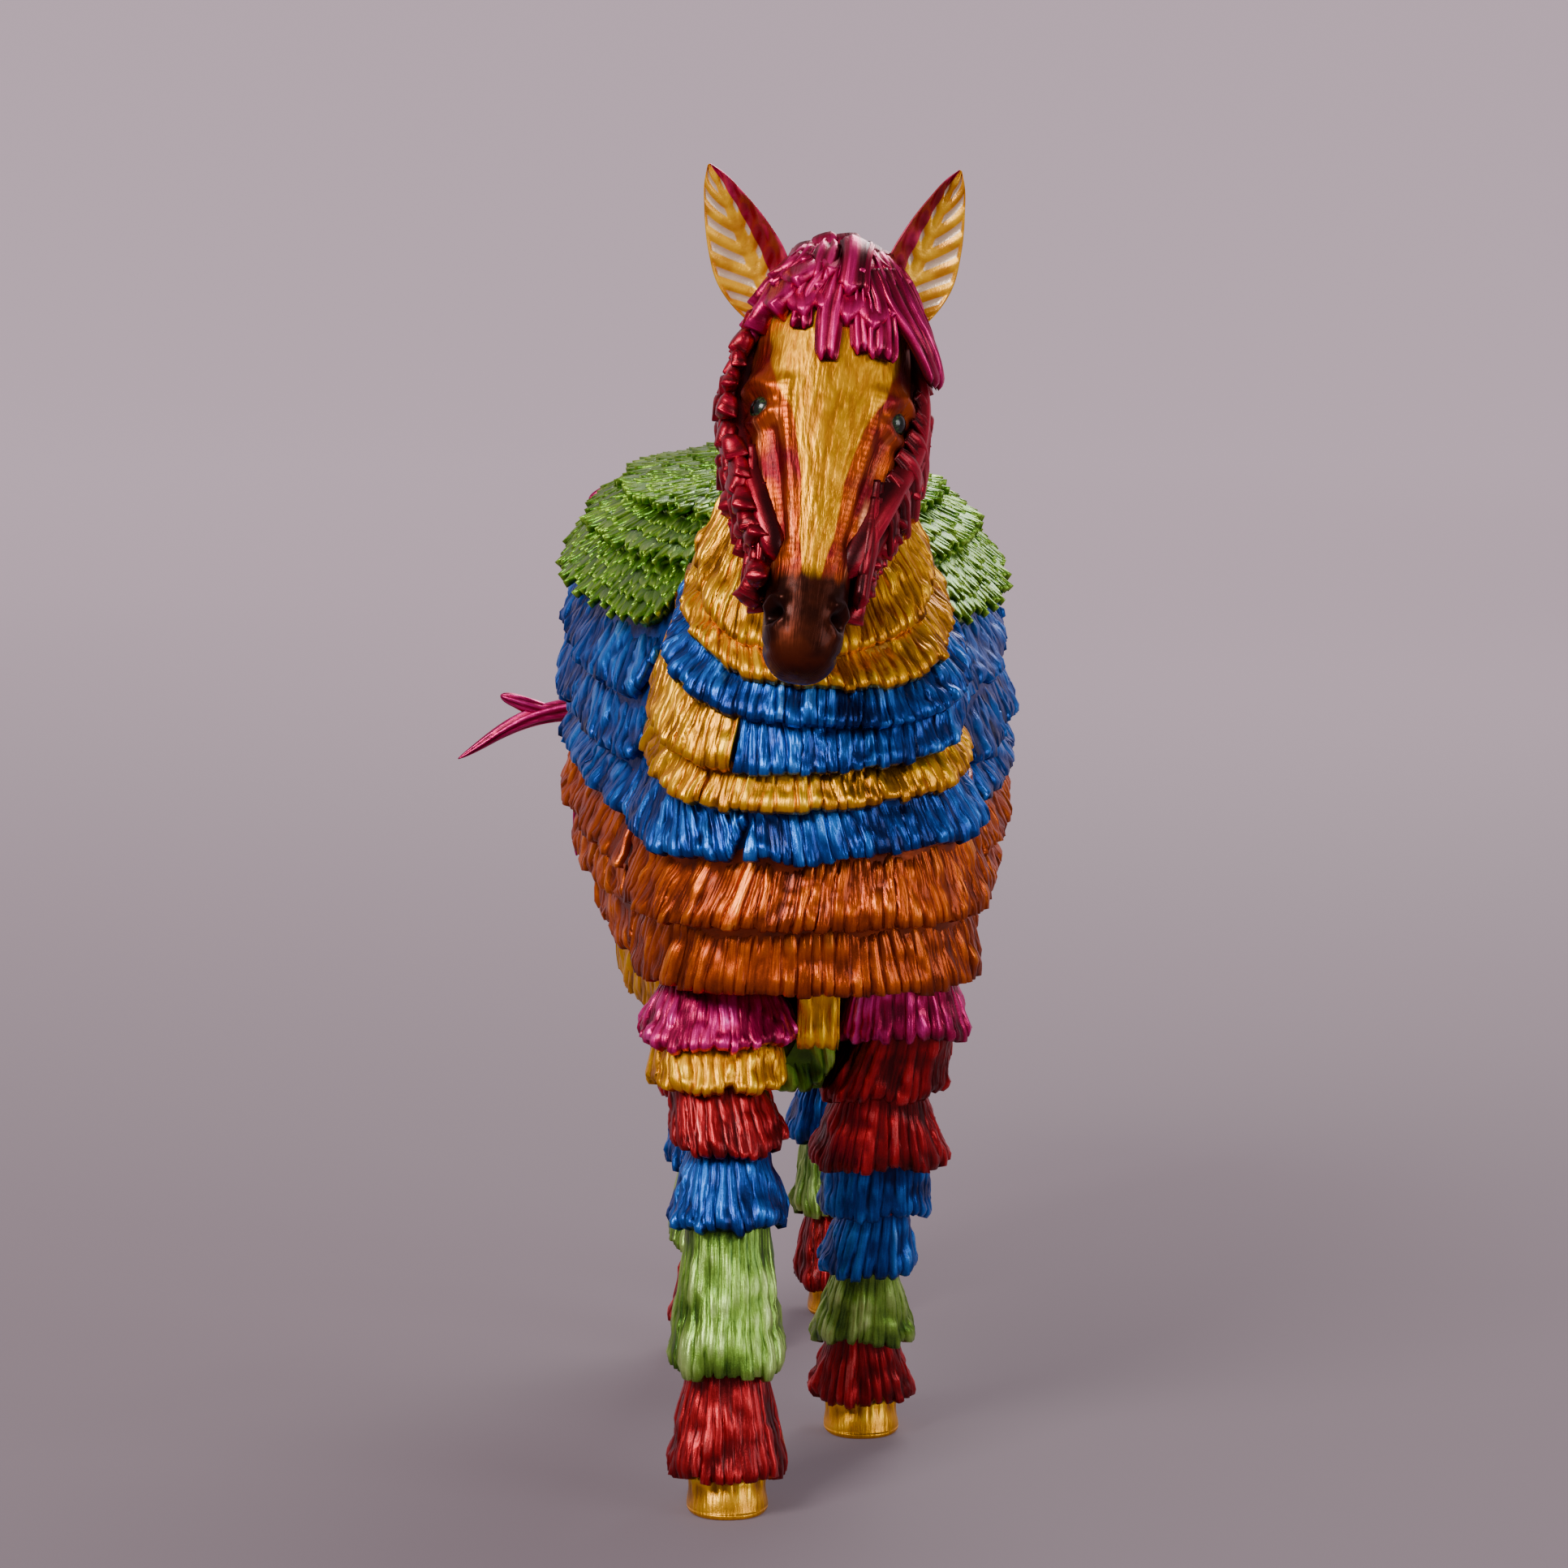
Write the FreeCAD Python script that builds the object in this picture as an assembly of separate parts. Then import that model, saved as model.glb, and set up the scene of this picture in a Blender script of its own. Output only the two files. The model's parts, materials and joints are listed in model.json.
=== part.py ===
"""A small standing horse figure dressed as a pinata, in millimetres.

A hollow body in two halves carries a chest and neck, a head and four legs on steel pins.
Strips of putty, cut into fringe, are laid over it in overlapping rows, the lowest first,
so each row is a solid of its own that laps over the row below.
The horse faces -Y, +X is its left side and +Z is up. It stands on the plane Z = 0, and
the origin is under the middle of its bounding box.
"""

import FreeCAD, Part

import math
import os

from FreeCAD import Vector

# Driving dimensions of the figure, which every other size here goes with
BARREL = 19.8  # half-width of the body's core where it is widest
CHEST_TAPER = 0.14  # how much narrower the body is in front than behind
PIVOT_Y = 45.0  # where a tilted row round the body has its stated height
SQUARENESS = 0.78  # 1 is an ellipse, and less is a squarer ring
RING_POINTS = 28  # points on a full ring

# The strips of fringe
GLUE_GAP = 0.04  # between a strip and what it is laid on
STRIP = 0.75  # thickness where a strip is pressed down
LAP = STRIP + GLUE_GAP  # how far a strip's cut edge is lifted by the strip below it
FLARE = 1.2  # how far the cut edge stands off what it laps over
FRINGE = LAP + FLARE  # from the core to the outside of a cut edge

# The pieces inside
SHELL = 1.8  # wall of the hollow body
LEG_PIN = 0.7  # radius of the steel pins in the legs
NECK_PIN = 1.4  # radius of the pin from body to head

# The head: the ends of its axis, and its roll about a point in the throat
POLL = Vector(0, 14.8, 107.0)
MUZZLE = Vector(-0.9, -5.4, 75.8)
THROAT = Vector(0, 14, 88)
HEAD_ROLL = 6.5

parts = {}


def signed_power(value, power):
    """Raises value to power, keeping its sign."""
    return math.copysign(abs(value) ** power, value)


class Ring:
    """A closed, slightly squared oval in a plane that may tilt, front edge down."""

    def __init__(self, centre, tilt, half_width, front, back, taper=0.0, roll=0.0):
        self.x, self.y, self.z = centre
        self.tilt, self.roll = math.radians(tilt), math.tan(math.radians(roll))
        self.half_width, self.front, self.back = half_width, front, back
        self.taper = taper

    def point(self, angle, offset):
        """The point at an angle from the front, where +90 degrees is the left side."""
        reach = self.front if math.cos(angle) > 0 else self.back
        across = (self.half_width + offset) * signed_power(math.sin(angle), SQUARENESS)
        across *= 1 - self.taper * math.cos(angle)
        along = -(reach + offset) * signed_power(math.cos(angle), SQUARENESS)
        return Vector(
            self.x + across,
            self.y + along * math.cos(self.tilt),
            self.z + along * math.sin(self.tilt) + across * self.roll,
        )

    def wire(self, offset=0.0):
        """The whole oval, pushed outwards by offset."""
        steps = [2 * math.pi * k / RING_POINTS for k in range(RING_POINTS)]
        curve = Part.BSplineCurve()
        curve.interpolate(Points=[self.point(a, offset) for a in steps], PeriodicFlag=True)
        return Part.Wire([curve.toShape()])

    def arc_wire(self, start, end, inner, outer):
        """A strip's outline from start to end, in degrees, between two offsets."""
        count = max(4, int(RING_POINTS * abs(end - start) / 360) + 2)
        angles = [math.radians(start + (end - start) * k / (count - 1)) for k in range(count)]
        outside, inside = Part.BSplineCurve(), Part.BSplineCurve()
        outside.interpolate(Points=[self.point(a, outer) for a in angles])
        inside.interpolate(Points=[self.point(a, inner) for a in reversed(angles)])
        outside, inside = outside.toShape(), inside.toShape()
        first = Part.makeLine(outside.Vertexes[-1].Point, inside.Vertexes[0].Point)
        last = Part.makeLine(inside.Vertexes[-1].Point, outside.Vertexes[0].Point)
        return Part.Wire([outside, first, inside, last])


def stack(rings, offset=0.0):
    """A solid through a stack of rings, all pushed out by offset."""
    return Part.makeLoft([r.wire(offset) for r in rings], True, True)


def row(top, bottom, lap=LAP):
    """A full strip between two rings, whose cut edge laps over the strip below."""
    outer = Part.makeLoft([top.wire(STRIP), bottom.wire(lap + FLARE)], True, True)
    inner = Part.makeLoft([top.wire(GLUE_GAP), bottom.wire(lap + GLUE_GAP)], True, True)
    return outer.cut(inner)


def strip(top, bottom, start, end):
    """A strip between two rings that covers only the angles from start to end."""
    return patch([(top, GLUE_GAP, STRIP), (bottom, LAP + GLUE_GAP, LAP + FLARE)], start, end)


def patch(levels, start, end):
    """A patch over rings, each given with the patch's inner and outer offset there."""
    wires = [ring.arc_wire(start, end, inner, outer) for ring, inner, outer in levels]
    return Part.makeLoft(wires, True, True)


def rod(points, radius):
    """A round rod bent through the points, with its ends left flat."""
    solid = None
    for start, end in zip(points, points[1:]):
        run = end - start
        piece = Part.makeCylinder(radius, run.Length, start, run)
        solid = piece if solid is None else solid.fuse(piece)
    for corner in points[1:-1]:
        solid = solid.fuse(Part.makeSphere(radius, corner))
    return solid


def largest(shape):
    """The biggest solid of a shape that a cut has split."""
    return max(shape.Solids, key=lambda solid: solid.Volume)


def pieces(shape, crumb=1.0):
    """Every solid of a shape that is more than a crumb, as one group."""
    return Part.makeCompound([solid for solid in shape.Solids if solid.Volume > crumb])


def body_ring(height, tilt, half_width, front_y, back_y):
    """A ring round the body, with its height at PIVOT_Y and its two ends along Y."""
    slope = math.tan(math.radians(tilt))
    middle = (front_y + back_y) / 2
    reach = (back_y - front_y) / 2 / math.cos(math.radians(tilt))
    centre = (0, middle, height + (middle - PIVOT_Y) * slope)
    return Ring(centre, tilt, half_width, reach, reach, CHEST_TAPER)


def neck_ring(front_y, front_z, tilt, depth, half_width, x=0.0, roll=0.0):
    """A ring round the chest or neck, given by its foremost point."""
    reach = depth / 2
    lean = math.radians(tilt)
    centre = (x, front_y + reach * math.cos(lean), front_z + reach * math.sin(lean))
    return Ring(centre, tilt, half_width, reach, reach, 0.0, roll)


# The body, from the crown of the back down to the keel
BODY = {
    "crown": body_ring(88.4, 2, BARREL * 0.30, 38, 73),
    "back": body_ring(86.0, 4, BARREL * 0.62, 31, 78.5),
    "saddle": body_ring(82.8, 5.5, BARREL * 0.80, 25.5, 82.4),
    "loin": body_ring(78.6, 7.5, BARREL * 0.92, 19.5, 85.2),
    "flank_top": body_ring(72.8, 8.5, BARREL * 0.985, 15, 87.2),
    "flank": body_ring(67.0, 8.2, BARREL, 12.4, 88.0),
    "flank_low": body_ring(62.6, 8, BARREL, 11.6, 88.0),
    "rib_top": body_ring(57.0, 6.5, BARREL * 0.985, 11.4, 88.0),
    "rib": body_ring(51.6, 4.5, BARREL * 0.92, 11.6, 87.4),
    "girth": body_ring(45.8, 1, BARREL * 0.82, 12.4, 86.0),
    "belly": body_ring(39.4, 0, BARREL * 0.68, 14.5, 82.5),
    "keel": body_ring(34.6, 0, BARREL * 0.50, 18.0, 77.0),
}

# The chest and neck, from the brisket up into the head
NECK = {
    "brisket": neck_ring(7.8, 44.9, 2, 28, 14.0),
    "breast": neck_ring(6.6, 51.2, 4, 29, 14.8),
    "chest": neck_ring(6.6, 57.6, 9, 29, 14.7, roll=2),
    "chest_top": neck_ring(6.0, 62.4, 15, 27, 13.0, roll=2),
    "low": neck_ring(6.0, 65.6, 19, 26.5, 12.6, x=-0.2, roll=1),
    "middle": neck_ring(6.2, 70.0, 24, 26, 12.0, x=0.6, roll=-4),
    "high": neck_ring(7.0, 73.6, 26, 25, 10.2, x=0.8, roll=-3),
    "collar": neck_ring(8.2, 76.4, 31, 22.5, 8.9, x=0.5, roll=1),
    "throat": neck_ring(10.6, 82.0, 42, 19.5, 6.5, x=1.2),
    "nape": neck_ring(13.0, 87.0, 53, 17, 5.5, x=1.8),
    "poll": neck_ring(14.2, 92.0, 60, 14, 4.5, x=2.2),
}

# Each leg's rings from the top down: x, y, z, half-width and half-depth of the core
LEGS = {
    "fore_right": [
        (-7.6, 18.4, 51.0, 4.2, 5.2),
        (-8.0, 16.4, 44.5, 5.2, 6.0),
        (-8.2, 14.8, 40.4, 5.3, 5.8),
        (-8.4, 13.0, 36.6, 4.1, 4.8),
        (-7.4, 10.8, 31.3, 3.2, 4.0),
        (-7.7, 8.2, 25.0, 3.5, 3.9),
        (-7.9, 5.0, 12.6, 3.2, 3.5),
        (-8.0, 3.8, 3.4, 3.1, 3.4),
    ],
    "fore_left": [
        (7.6, 19.0, 51.0, 4.2, 5.2),
        (8.2, 18.4, 44.5, 5.0, 6.0),
        (8.4, 19.4, 39.6, 4.6, 5.4),
        (6.8, 21.0, 33.8, 3.9, 4.8),
        (6.7, 22.8, 27.0, 4.6, 5.0),
        (6.5, 24.2, 22.0, 3.1, 4.0),
        (5.9, 25.8, 16.3, 2.7, 3.5),
        (5.7, 28.0, 9.4, 3.0, 3.4),
        (5.8, 30.0, 3.4, 3.0, 3.3),
    ],
    "hind_right": [
        (-8.4, 71.0, 51.0, 5.6, 11.0),
        (-8.2, 71.0, 44.5, 5.2, 9.6),
        (-7.6, 70.6, 37.0, 4.3, 7.8),
        (-7.2, 70.2, 30.6, 3.6, 6.2),
        (-6.6, 70.6, 24.6, 3.0, 4.8),
        (-6.4, 68.0, 18.0, 2.9, 4.2),
        (-6.2, 64.4, 10.5, 2.8, 3.7),
        (-6.0, 61.4, 3.4, 2.9, 3.3),
    ],
    "hind_left": [
        (9.0, 73.0, 51.0, 6.4, 11.0),
        (9.2, 74.0, 44.5, 6.0, 9.6),
        (8.6, 75.6, 37.0, 5.0, 7.8),
        (8.0, 77.8, 30.6, 4.2, 6.2),
        (7.6, 80.6, 24.6, 3.6, 4.8),
        (7.4, 80.6, 18.0, 3.6, 4.2),
        (7.4, 78.6, 10.5, 3.2, 3.7),
        (7.4, 77.0, 3.4, 3.0, 3.3),
    ],
}
HEM = 1.0  # how far the lowest strip stands off the leg, so that it is hollow below
HOOF_GROWTH = 0.5  # how much wider a hoof is on the ground than at its top
HOOF_TOE = 0.8  # how far its ground ring leads its top ring

# The rows on each leg: colour, and pairs of ring numbers from the top down
LEG_ROWS = {
    "fore_right": {
        "pink_cuff": [(1, 2)],
        "yellow_cuff": [(2, 3)],
        "red_fringe": [(3, 4), (6, 7)],
        "blue_fringe": [(4, 5)],
        "green_fringe": [(5, 6)],
    },
    "fore_left": {
        "pink_cuff": [(1, 2)],
        "red_fringe": [(2, 3), (3, 4), (7, 8)],
        "blue_fringe": [(4, 5), (5, 6)],
        "green_fringe": [(6, 7)],
    },
    "hind_right": {
        "pink_cuff": [(1, 2)],
        "red_fringe": [(2, 3), (3, 4), (6, 7)],
        "blue_fringe": [(4, 5)],
        "green_fringe": [(5, 6)],
    },
    "hind_left": {
        "pink_cuff": [(1, 2)],
        "red_fringe": [(2, 3), (3, 4), (6, 7)],
        "blue_fringe": [(4, 5)],
        "green_fringe": [(5, 6)],
    },
}


def leg_rings(leg):
    """The rings of one leg, from the top down."""
    return [Ring((x, y, z), 0, half, deep, deep) for x, y, z, half, deep in LEGS[leg]]


def make_legs():
    """The cast leg cores, the steel pins in them and the hooves."""
    pins = []
    for leg in LEGS:
        rings = leg_rings(leg)
        path = [Vector(r.x, r.y, r.z) for r in rings]
        ankle = rings[-1]
        path[-1] = Vector(ankle.x, ankle.y, ankle.z / 2)
        pin = rod(path, LEG_PIN)
        pins.append(pin)
        parts[f"{leg}_leg_core"] = stack(rings).cut(pin)
        sole = Ring(
            (ankle.x, ankle.y - HOOF_TOE, 0),
            0,
            ankle.half_width + HOOF_GROWTH,
            ankle.front + HOOF_GROWTH,
            ankle.back,
        )
        parts[f"{leg}_hoof"] = stack([ankle, sole]).cut(pin)
    parts["leg_pins"] = Part.makeCompound(pins)


def make_leg_fringe():
    """The rows of fringe on the legs, down to a hem that hangs free over the hoof."""
    for leg, colours in LEG_ROWS.items():
        rings = leg_rings(leg)
        for colour, pairs in colours.items():
            rows = []
            for top, bottom in pairs:
                lap = HEM if bottom == len(rings) - 1 else LAP
                rows.append(row(rings[top], rings[bottom], lap))
            parts[f"{leg}_{colour}"] = rows[0] if len(rows) == 1 else Part.makeCompound(rows)


def make_body():
    """The hollow body in two halves, and the chest and neck that it holds."""
    order = list(BODY.values())
    neck = stack(list(NECK.values()))
    pin = rod([Vector(0.4, 30, 56), Vector(1.0, 19, 84), Vector(1.8, 14.8, 95)], NECK_PIN)
    shell = stack(order).cut(stack(order[1:-1], -SHELL)).cut(neck)
    shell = shell.cut(rod(TAIL_PATH[:3], TAIL_RADIUS))
    for leg in LEGS:
        shell = shell.cut(stack(leg_rings(leg))).cut(stack(leg_rings(leg)[1:5], FRINGE))
        neck = neck.cut(stack(leg_rings(leg)[:3])).cut(stack(leg_rings(leg)[1:3], FRINGE))
    for name in STRIPS_AT_BODY:
        shell = shell.cut(parts[name])
    room = 200.0
    for side, corner in (("left", 0), ("right", -room)):
        half = Part.makeBox(room, room, room, Vector(corner, -room / 2, 0))
        parts[f"body_shell_{side}"] = largest(shell.common(half))
    parts["neck_core"] = largest(neck.cut(pin).cut(parts["leg_pins"]))
    parts["neck_pin"] = pin


# The rows round the body: name, top ring and bottom ring
BODY_ROWS = [
    ("back_green_row_upper", "back", "saddle"),
    ("back_green_row_lower", "saddle", "loin"),
    ("flank_blue_row_upper", "loin", "flank_top"),
    ("flank_blue_row_middle", "flank_top", "flank"),
    ("flank_blue_row_lower", "flank", "flank_low"),
    ("flank_orange_row_upper", "flank_low", "rib_top"),
    ("flank_orange_row_middle", "rib_top", "rib"),
    ("flank_orange_row_lower", "rib", "girth"),
    ("belly_yellow_row", "girth", "belly"),
    ("belly_green_row", "belly", "keel"),
]
ROWS_AT_LEGS = ("flank_orange_row_lower", "belly_yellow_row", "belly_green_row")


def make_body_fringe():
    """The rows round the body, cleared of the legs and of the chest and neck strips."""
    neck_clear = stack(list(NECK.values()), FRINGE)
    legs_clear = [stack(leg_rings(leg)[:4], FRINGE) for leg in LEGS]
    cap = Part.makeLoft([BODY["crown"].wire(STRIP), BODY["back"].wire(FRINGE)], True, True)
    under = Part.makeLoft([BODY["crown"].wire(GLUE_GAP), BODY["back"].wire(LAP)], True, True)
    parts["back_green_cap"] = largest(cap.cut(under).cut(neck_clear))
    for name, top, bottom in BODY_ROWS:
        solid = row(BODY[top], BODY[bottom], 0.0 if bottom == "keel" else LAP).cut(neck_clear)
        if name in ROWS_AT_LEGS:
            for clear in legs_clear:
                solid = solid.cut(clear)
        parts[name] = pieces(solid)


# The strips on the chest and neck: name, top ring, bottom ring, start and end angle
NECK_STRIPS = [
    ("chest_orange_strip_lower", "breast", "brisket", -90, 92),
    ("chest_orange_strip_upper", "chest", "breast", -92, 96),
    ("chest_blue_strips", "chest_top", "chest", -98, -20),
    ("chest_blue_strips", "chest_top", "chest", -19, 100),
    ("chest_yellow_strip", "low", "chest_top", -38, 104),
    ("neck_yellow_side_strips", "low", "chest_top", -110, -39),
    ("neck_yellow_side_strips", "middle", "low", -118, -26),
    ("neck_blue_strip_lower", "middle", "low", -25, 112),
    ("neck_blue_strip_upper", "high", "middle", -168, 168),
    ("neck_yellow_strip_lower", "collar", "high", -166, 166),
    ("neck_yellow_strip_upper", "throat", "collar", -164, 164),
]


STRIPS_AT_BODY = sorted({entry[0] for entry in NECK_STRIPS})


def make_neck_fringe():
    """The strips on the chest and neck."""
    groups = {}
    for name, top, bottom, start, end in NECK_STRIPS:
        groups.setdefault(name, []).append(strip(NECK[top], NECK[bottom], start, end))
    for name, solids in groups.items():
        parts[name] = solids[0] if len(solids) == 1 else Part.makeCompound(solids)


def make_mane():
    """The crest that closes the gap of the collars behind, from the withers to the poll."""
    crest = [NECK[n].point(math.pi, 0) for n in ("middle", "high", "collar", "throat", "nape")]
    crest.append(NECK["poll"].point(math.pi, 0) + Vector(0, 1.2, 1.6))
    sections = []
    for number, point in enumerate(crest):
        lean = 62 - 3 * number
        centre = (point.x, point.y + 1.6, point.z + 0.6)
        sections.append(Ring(centre, 90 - lean, 1.5, 2.6, 2.2).wire())
    mane = Part.makeLoft(sections, True, False)
    mane = mane.cut(stack(list(NECK.values()), GLUE_GAP))
    for name in ("neck_blue_strip_upper", "neck_yellow_strip_lower", "neck_yellow_strip_upper"):
        mane = mane.cut(parts[name])
    for name in ("back_green_cap", "back_green_row_upper", "back_green_row_lower"):
        mane = mane.cut(parts[name])
    parts["mane"] = largest(mane.cut(stack(list(BODY.values()))))


# The head's sections: share of its length, half-width, reach to the face and to the jaw
HEAD = [
    (-0.04, 3.6, 3.0, 4.0),
    (0.04, 5.2, 4.2, 6.4),
    (0.16, 6.4, 4.8, 8.6),
    (0.30, 7.1, 5.0, 10.0),
    (0.42, 6.8, 4.9, 10.2),
    (0.54, 5.6, 4.6, 8.4),
    (0.66, 4.5, 4.2, 6.2),
    (0.78, 3.6, 3.8, 4.8),
    (0.88, 3.5, 3.6, 4.3),
    (0.97, 3.2, 2.9, 3.7),
    (1.03, 2.2, 1.9, 2.5),
]


def head_ring(share):
    """The head's section at a share of its length, between the stated ones."""
    for low, high in zip(HEAD, HEAD[1:]):
        if share <= high[0]:
            break
    part = (share - low[0]) / (high[0] - low[0])
    half, face, jaw = (low[k] + (high[k] - low[k]) * part for k in (1, 2, 3))
    axis = MUZZLE - POLL
    centre = POLL + axis * share
    tilt = -math.degrees(math.atan2(axis.y, axis.z) % math.pi)
    return Ring(centre, tilt, half, face, jaw)


def placed(shape):
    """A head piece rolled about the throat."""
    moved = shape.copy()
    moved.rotate(THROAT, Vector(0, 1, 0), HEAD_ROLL)
    return moved


# An ear's outline, as shares of its height and half-width, from the foot to the tip
EAR_OUTLINE = [(0, 0.42), (0.16, 0.84), (0.38, 1.0), (0.62, 0.84), (0.84, 0.46), (1.0, 0.06)]
EAR_HALF_WIDTH = 3.9
EAR_THICKNESS = 1.5
EAR_PEG = 0.7
EARS = {
    "left": (Vector(7.6, 15.0, 102.6), Vector(13.4, 15.6, 116.6)),
    "right": (Vector(-3.0, 15.0, 103.2), Vector(-8.8, 15.6, 117.2)),
}


def ear(foot, tip):
    """A leaf-shaped ear with a peg that plugs into the head."""
    rise = tip - foot
    across = rise.cross(Vector(math.copysign(0.3, rise.x), -1, 0)).normalize()
    normal = rise.cross(across).normalize()
    edge = [foot + rise * t + across * (w * EAR_HALF_WIDTH) for t, w in EAR_OUTLINE]
    edge += [foot + rise * t - across * (w * EAR_HALF_WIDTH) for t, w in reversed(EAR_OUTLINE)]
    curve = Part.BSplineCurve()
    curve.interpolate(Points=edge, PeriodicFlag=True)
    leaf = Part.Face(Part.Wire([curve.toShape()])).extrude(normal * EAR_THICKNESS)
    start = foot + rise * 0.15 + normal * (EAR_THICKNESS / 2)
    return leaf.fuse(Part.makeCylinder(EAR_PEG, rise.Length * 0.4, start, -rise))


EYE = Vector(5.9, 4.75, 95.0)
EYE_RADIUS = 1.5

# The patches laid on the head: share of its length, inner and outer offset
FORELOCK = [
    (-0.02, 0.4, 2.0),
    (0.08, 0.1, 2.2),
    (0.18, 0.1, 2.0),
    (0.30, 0.1, 1.8),
]
FORELOCK_SPREAD = 104  # degrees to each side of the face
CHEEK = [
    (0.14, 0.1, 1.0),
    (0.30, 0.1, 2.2),
    (0.42, 0.1, 2.8),
    (0.54, 0.1, 2.8),
    (0.66, 0.1, 2.2),
    (0.78, 0.1, 1.2),
]
CHEEK_ANGLES = (78, 150)  # where each cheek's fringe starts and ends


def eyeball(centre):
    """A ball with its poles buried in the head."""
    return Part.makeSphere(EYE_RADIUS, centre, Vector(math.copysign(1, centre.x), 1, 0.3))


def make_head():
    """The head with its ears, eyes, forelock and the fringe on its cheeks."""
    centres = [Vector(side * EYE.x, EYE.y, EYE.z) for side in (-1, 1)]
    eyes = [placed(eyeball(centre)) for centre in centres]
    ears = {side: ear(*ends) for side, ends in EARS.items()}
    head = placed(stack([head_ring(section[0]) for section in HEAD]))
    neck = stack([NECK[name] for name in ("collar", "throat", "nape", "poll")], GLUE_GAP)
    taken = [*eyes, neck, parts["neck_pin"], parts["mane"], *ears.values()]
    taken += [parts["neck_yellow_strip_upper"], parts["neck_yellow_strip_lower"]]
    parts["head"] = largest(without(head, taken))
    levels = [(head_ring(share), low, high) for share, low, high in FORELOCK]
    lock = patch(levels, -FORELOCK_SPREAD, FORELOCK_SPREAD)
    parts["forelock"] = largest(without(placed(lock), taken))
    for side, sign in (("left", 1), ("right", -1)):
        levels = [(head_ring(share), low, high) for share, low, high in CHEEK]
        cheek = placed(patch(levels, *[sign * angle for angle in CHEEK_ANGLES]))
        cheek = without(cheek, taken)
        parts[f"cheek_fringe_{side}"] = largest(cheek.cut(parts["forelock"]))
        parts[f"ear_{side}"] = ears[side]
    parts["eyes"] = Part.makeCompound(eyes)


def without(shape, others):
    """The shape less each of the others."""
    for other in others:
        shape = shape.cut(other)
    return shape


# The tail: a bent dock, and tufts that leave it, each a path with a root and a tip radius
TAIL_RADIUS = 1.9
TAIL_PATH = [
    Vector(0.5, 80, 76.0),
    Vector(0.3, 87, 79.5),
    Vector(-2.4, 92.5, 83.0),
    Vector(-9.5, 95.5, 84.0),
    Vector(-14.2, 96.0, 80.0),
    Vector(-16.6, 96.0, 70.0),
    Vector(-17.2, 95.5, 58.0),
]
TUFTS = [
    ([Vector(-12.0, 96.0, 82.0), Vector(-15.0, 96.3, 83.2), Vector(-17.6, 96.4, 82.6)], 1.3, 0.9),
    ([Vector(-17.2, 95.6, 61.0), Vector(-24.2, 95.0, 59.8), Vector(-31.8, 94.0, 55.6)], 1.7, 0.6),
    ([Vector(-17.0, 95.8, 58.4), Vector(-18.4, 96.0, 51.0), Vector(-19.4, 95.6, 45.0)], 1.7, 0.7),
    ([Vector(-16.4, 96.4, 58.4), Vector(-14.4, 97.0, 49.0), Vector(-12.0, 96.6, 41.0)], 1.7, 0.7),
]


def make_tail():
    """The dock on its peg, and the tufts of tail fringe."""
    dock = rod(TAIL_PATH, TAIL_RADIUS)
    for name, _, _ in BODY_ROWS:
        parts[name] = parts[name].cut(dock)
    parts["tail_core"] = dock
    tufts = []
    for path, thick, thin in TUFTS:
        wires = []
        for k, point in enumerate(path):
            direction = path[min(k + 1, len(path) - 1)] - path[max(k - 1, 0)]
            radius = thick + (thin - thick) * k / (len(path) - 1)
            wires.append(Part.Wire([Part.makeCircle(radius, point, direction)]))
        tuft = Part.makeLoft(wires, True, False).cut(dock)
        for other in tufts:
            tuft = tuft.cut(other)
        tufts.append(largest(tuft))
    parts["tail_fringe"] = Part.makeCompound(tufts)


def centred(shapes):
    """The shapes moved so that the middle of their box's bottom is the origin."""
    box = FreeCAD.BoundBox()
    for shape in shapes.values():
        box.add(shape.BoundBox)
    shift = Vector(-box.Center.x, -box.Center.y, -box.ZMin)
    print("shift", [round(value, 3) for value in shift])
    moved = {}
    for name, shape in shapes.items():
        moved[name] = shape.copy()
        moved[name].translate(shift)
    return moved


def main():
    """Builds every sub-part and writes one STEP file for each."""
    make_legs()
    make_leg_fringe()
    make_neck_fringe()
    make_body()
    make_body_fringe()
    make_mane()
    make_head()
    make_tail()
    os.makedirs("parts", exist_ok=True)
    for name, shape in centred(parts).items():
        print(name, len(shape.Solids), round(shape.Volume, 1), shape.isValid())
        shape.exportStep(f"parts/{name}.step")
    print(len(parts), "nodes")


main()
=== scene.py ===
"""The looks of a small standing pinata horse: putty fringe, a painted head and gilt hooves.

Each sub-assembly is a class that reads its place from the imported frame, builds its meshes
and hands them over to the frame. Lengths are in metres, and MM makes millimetres readable.
The horse faces -Y, +X is its left side and +Z is up.
"""

import json
import logging
import math
from collections.abc import Iterable, Sequence
from dataclasses import dataclass, field
from enum import Enum

import bmesh
import bpy
import numpy as np
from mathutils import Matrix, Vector
from mathutils.bvhtree import BVHTree

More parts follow.
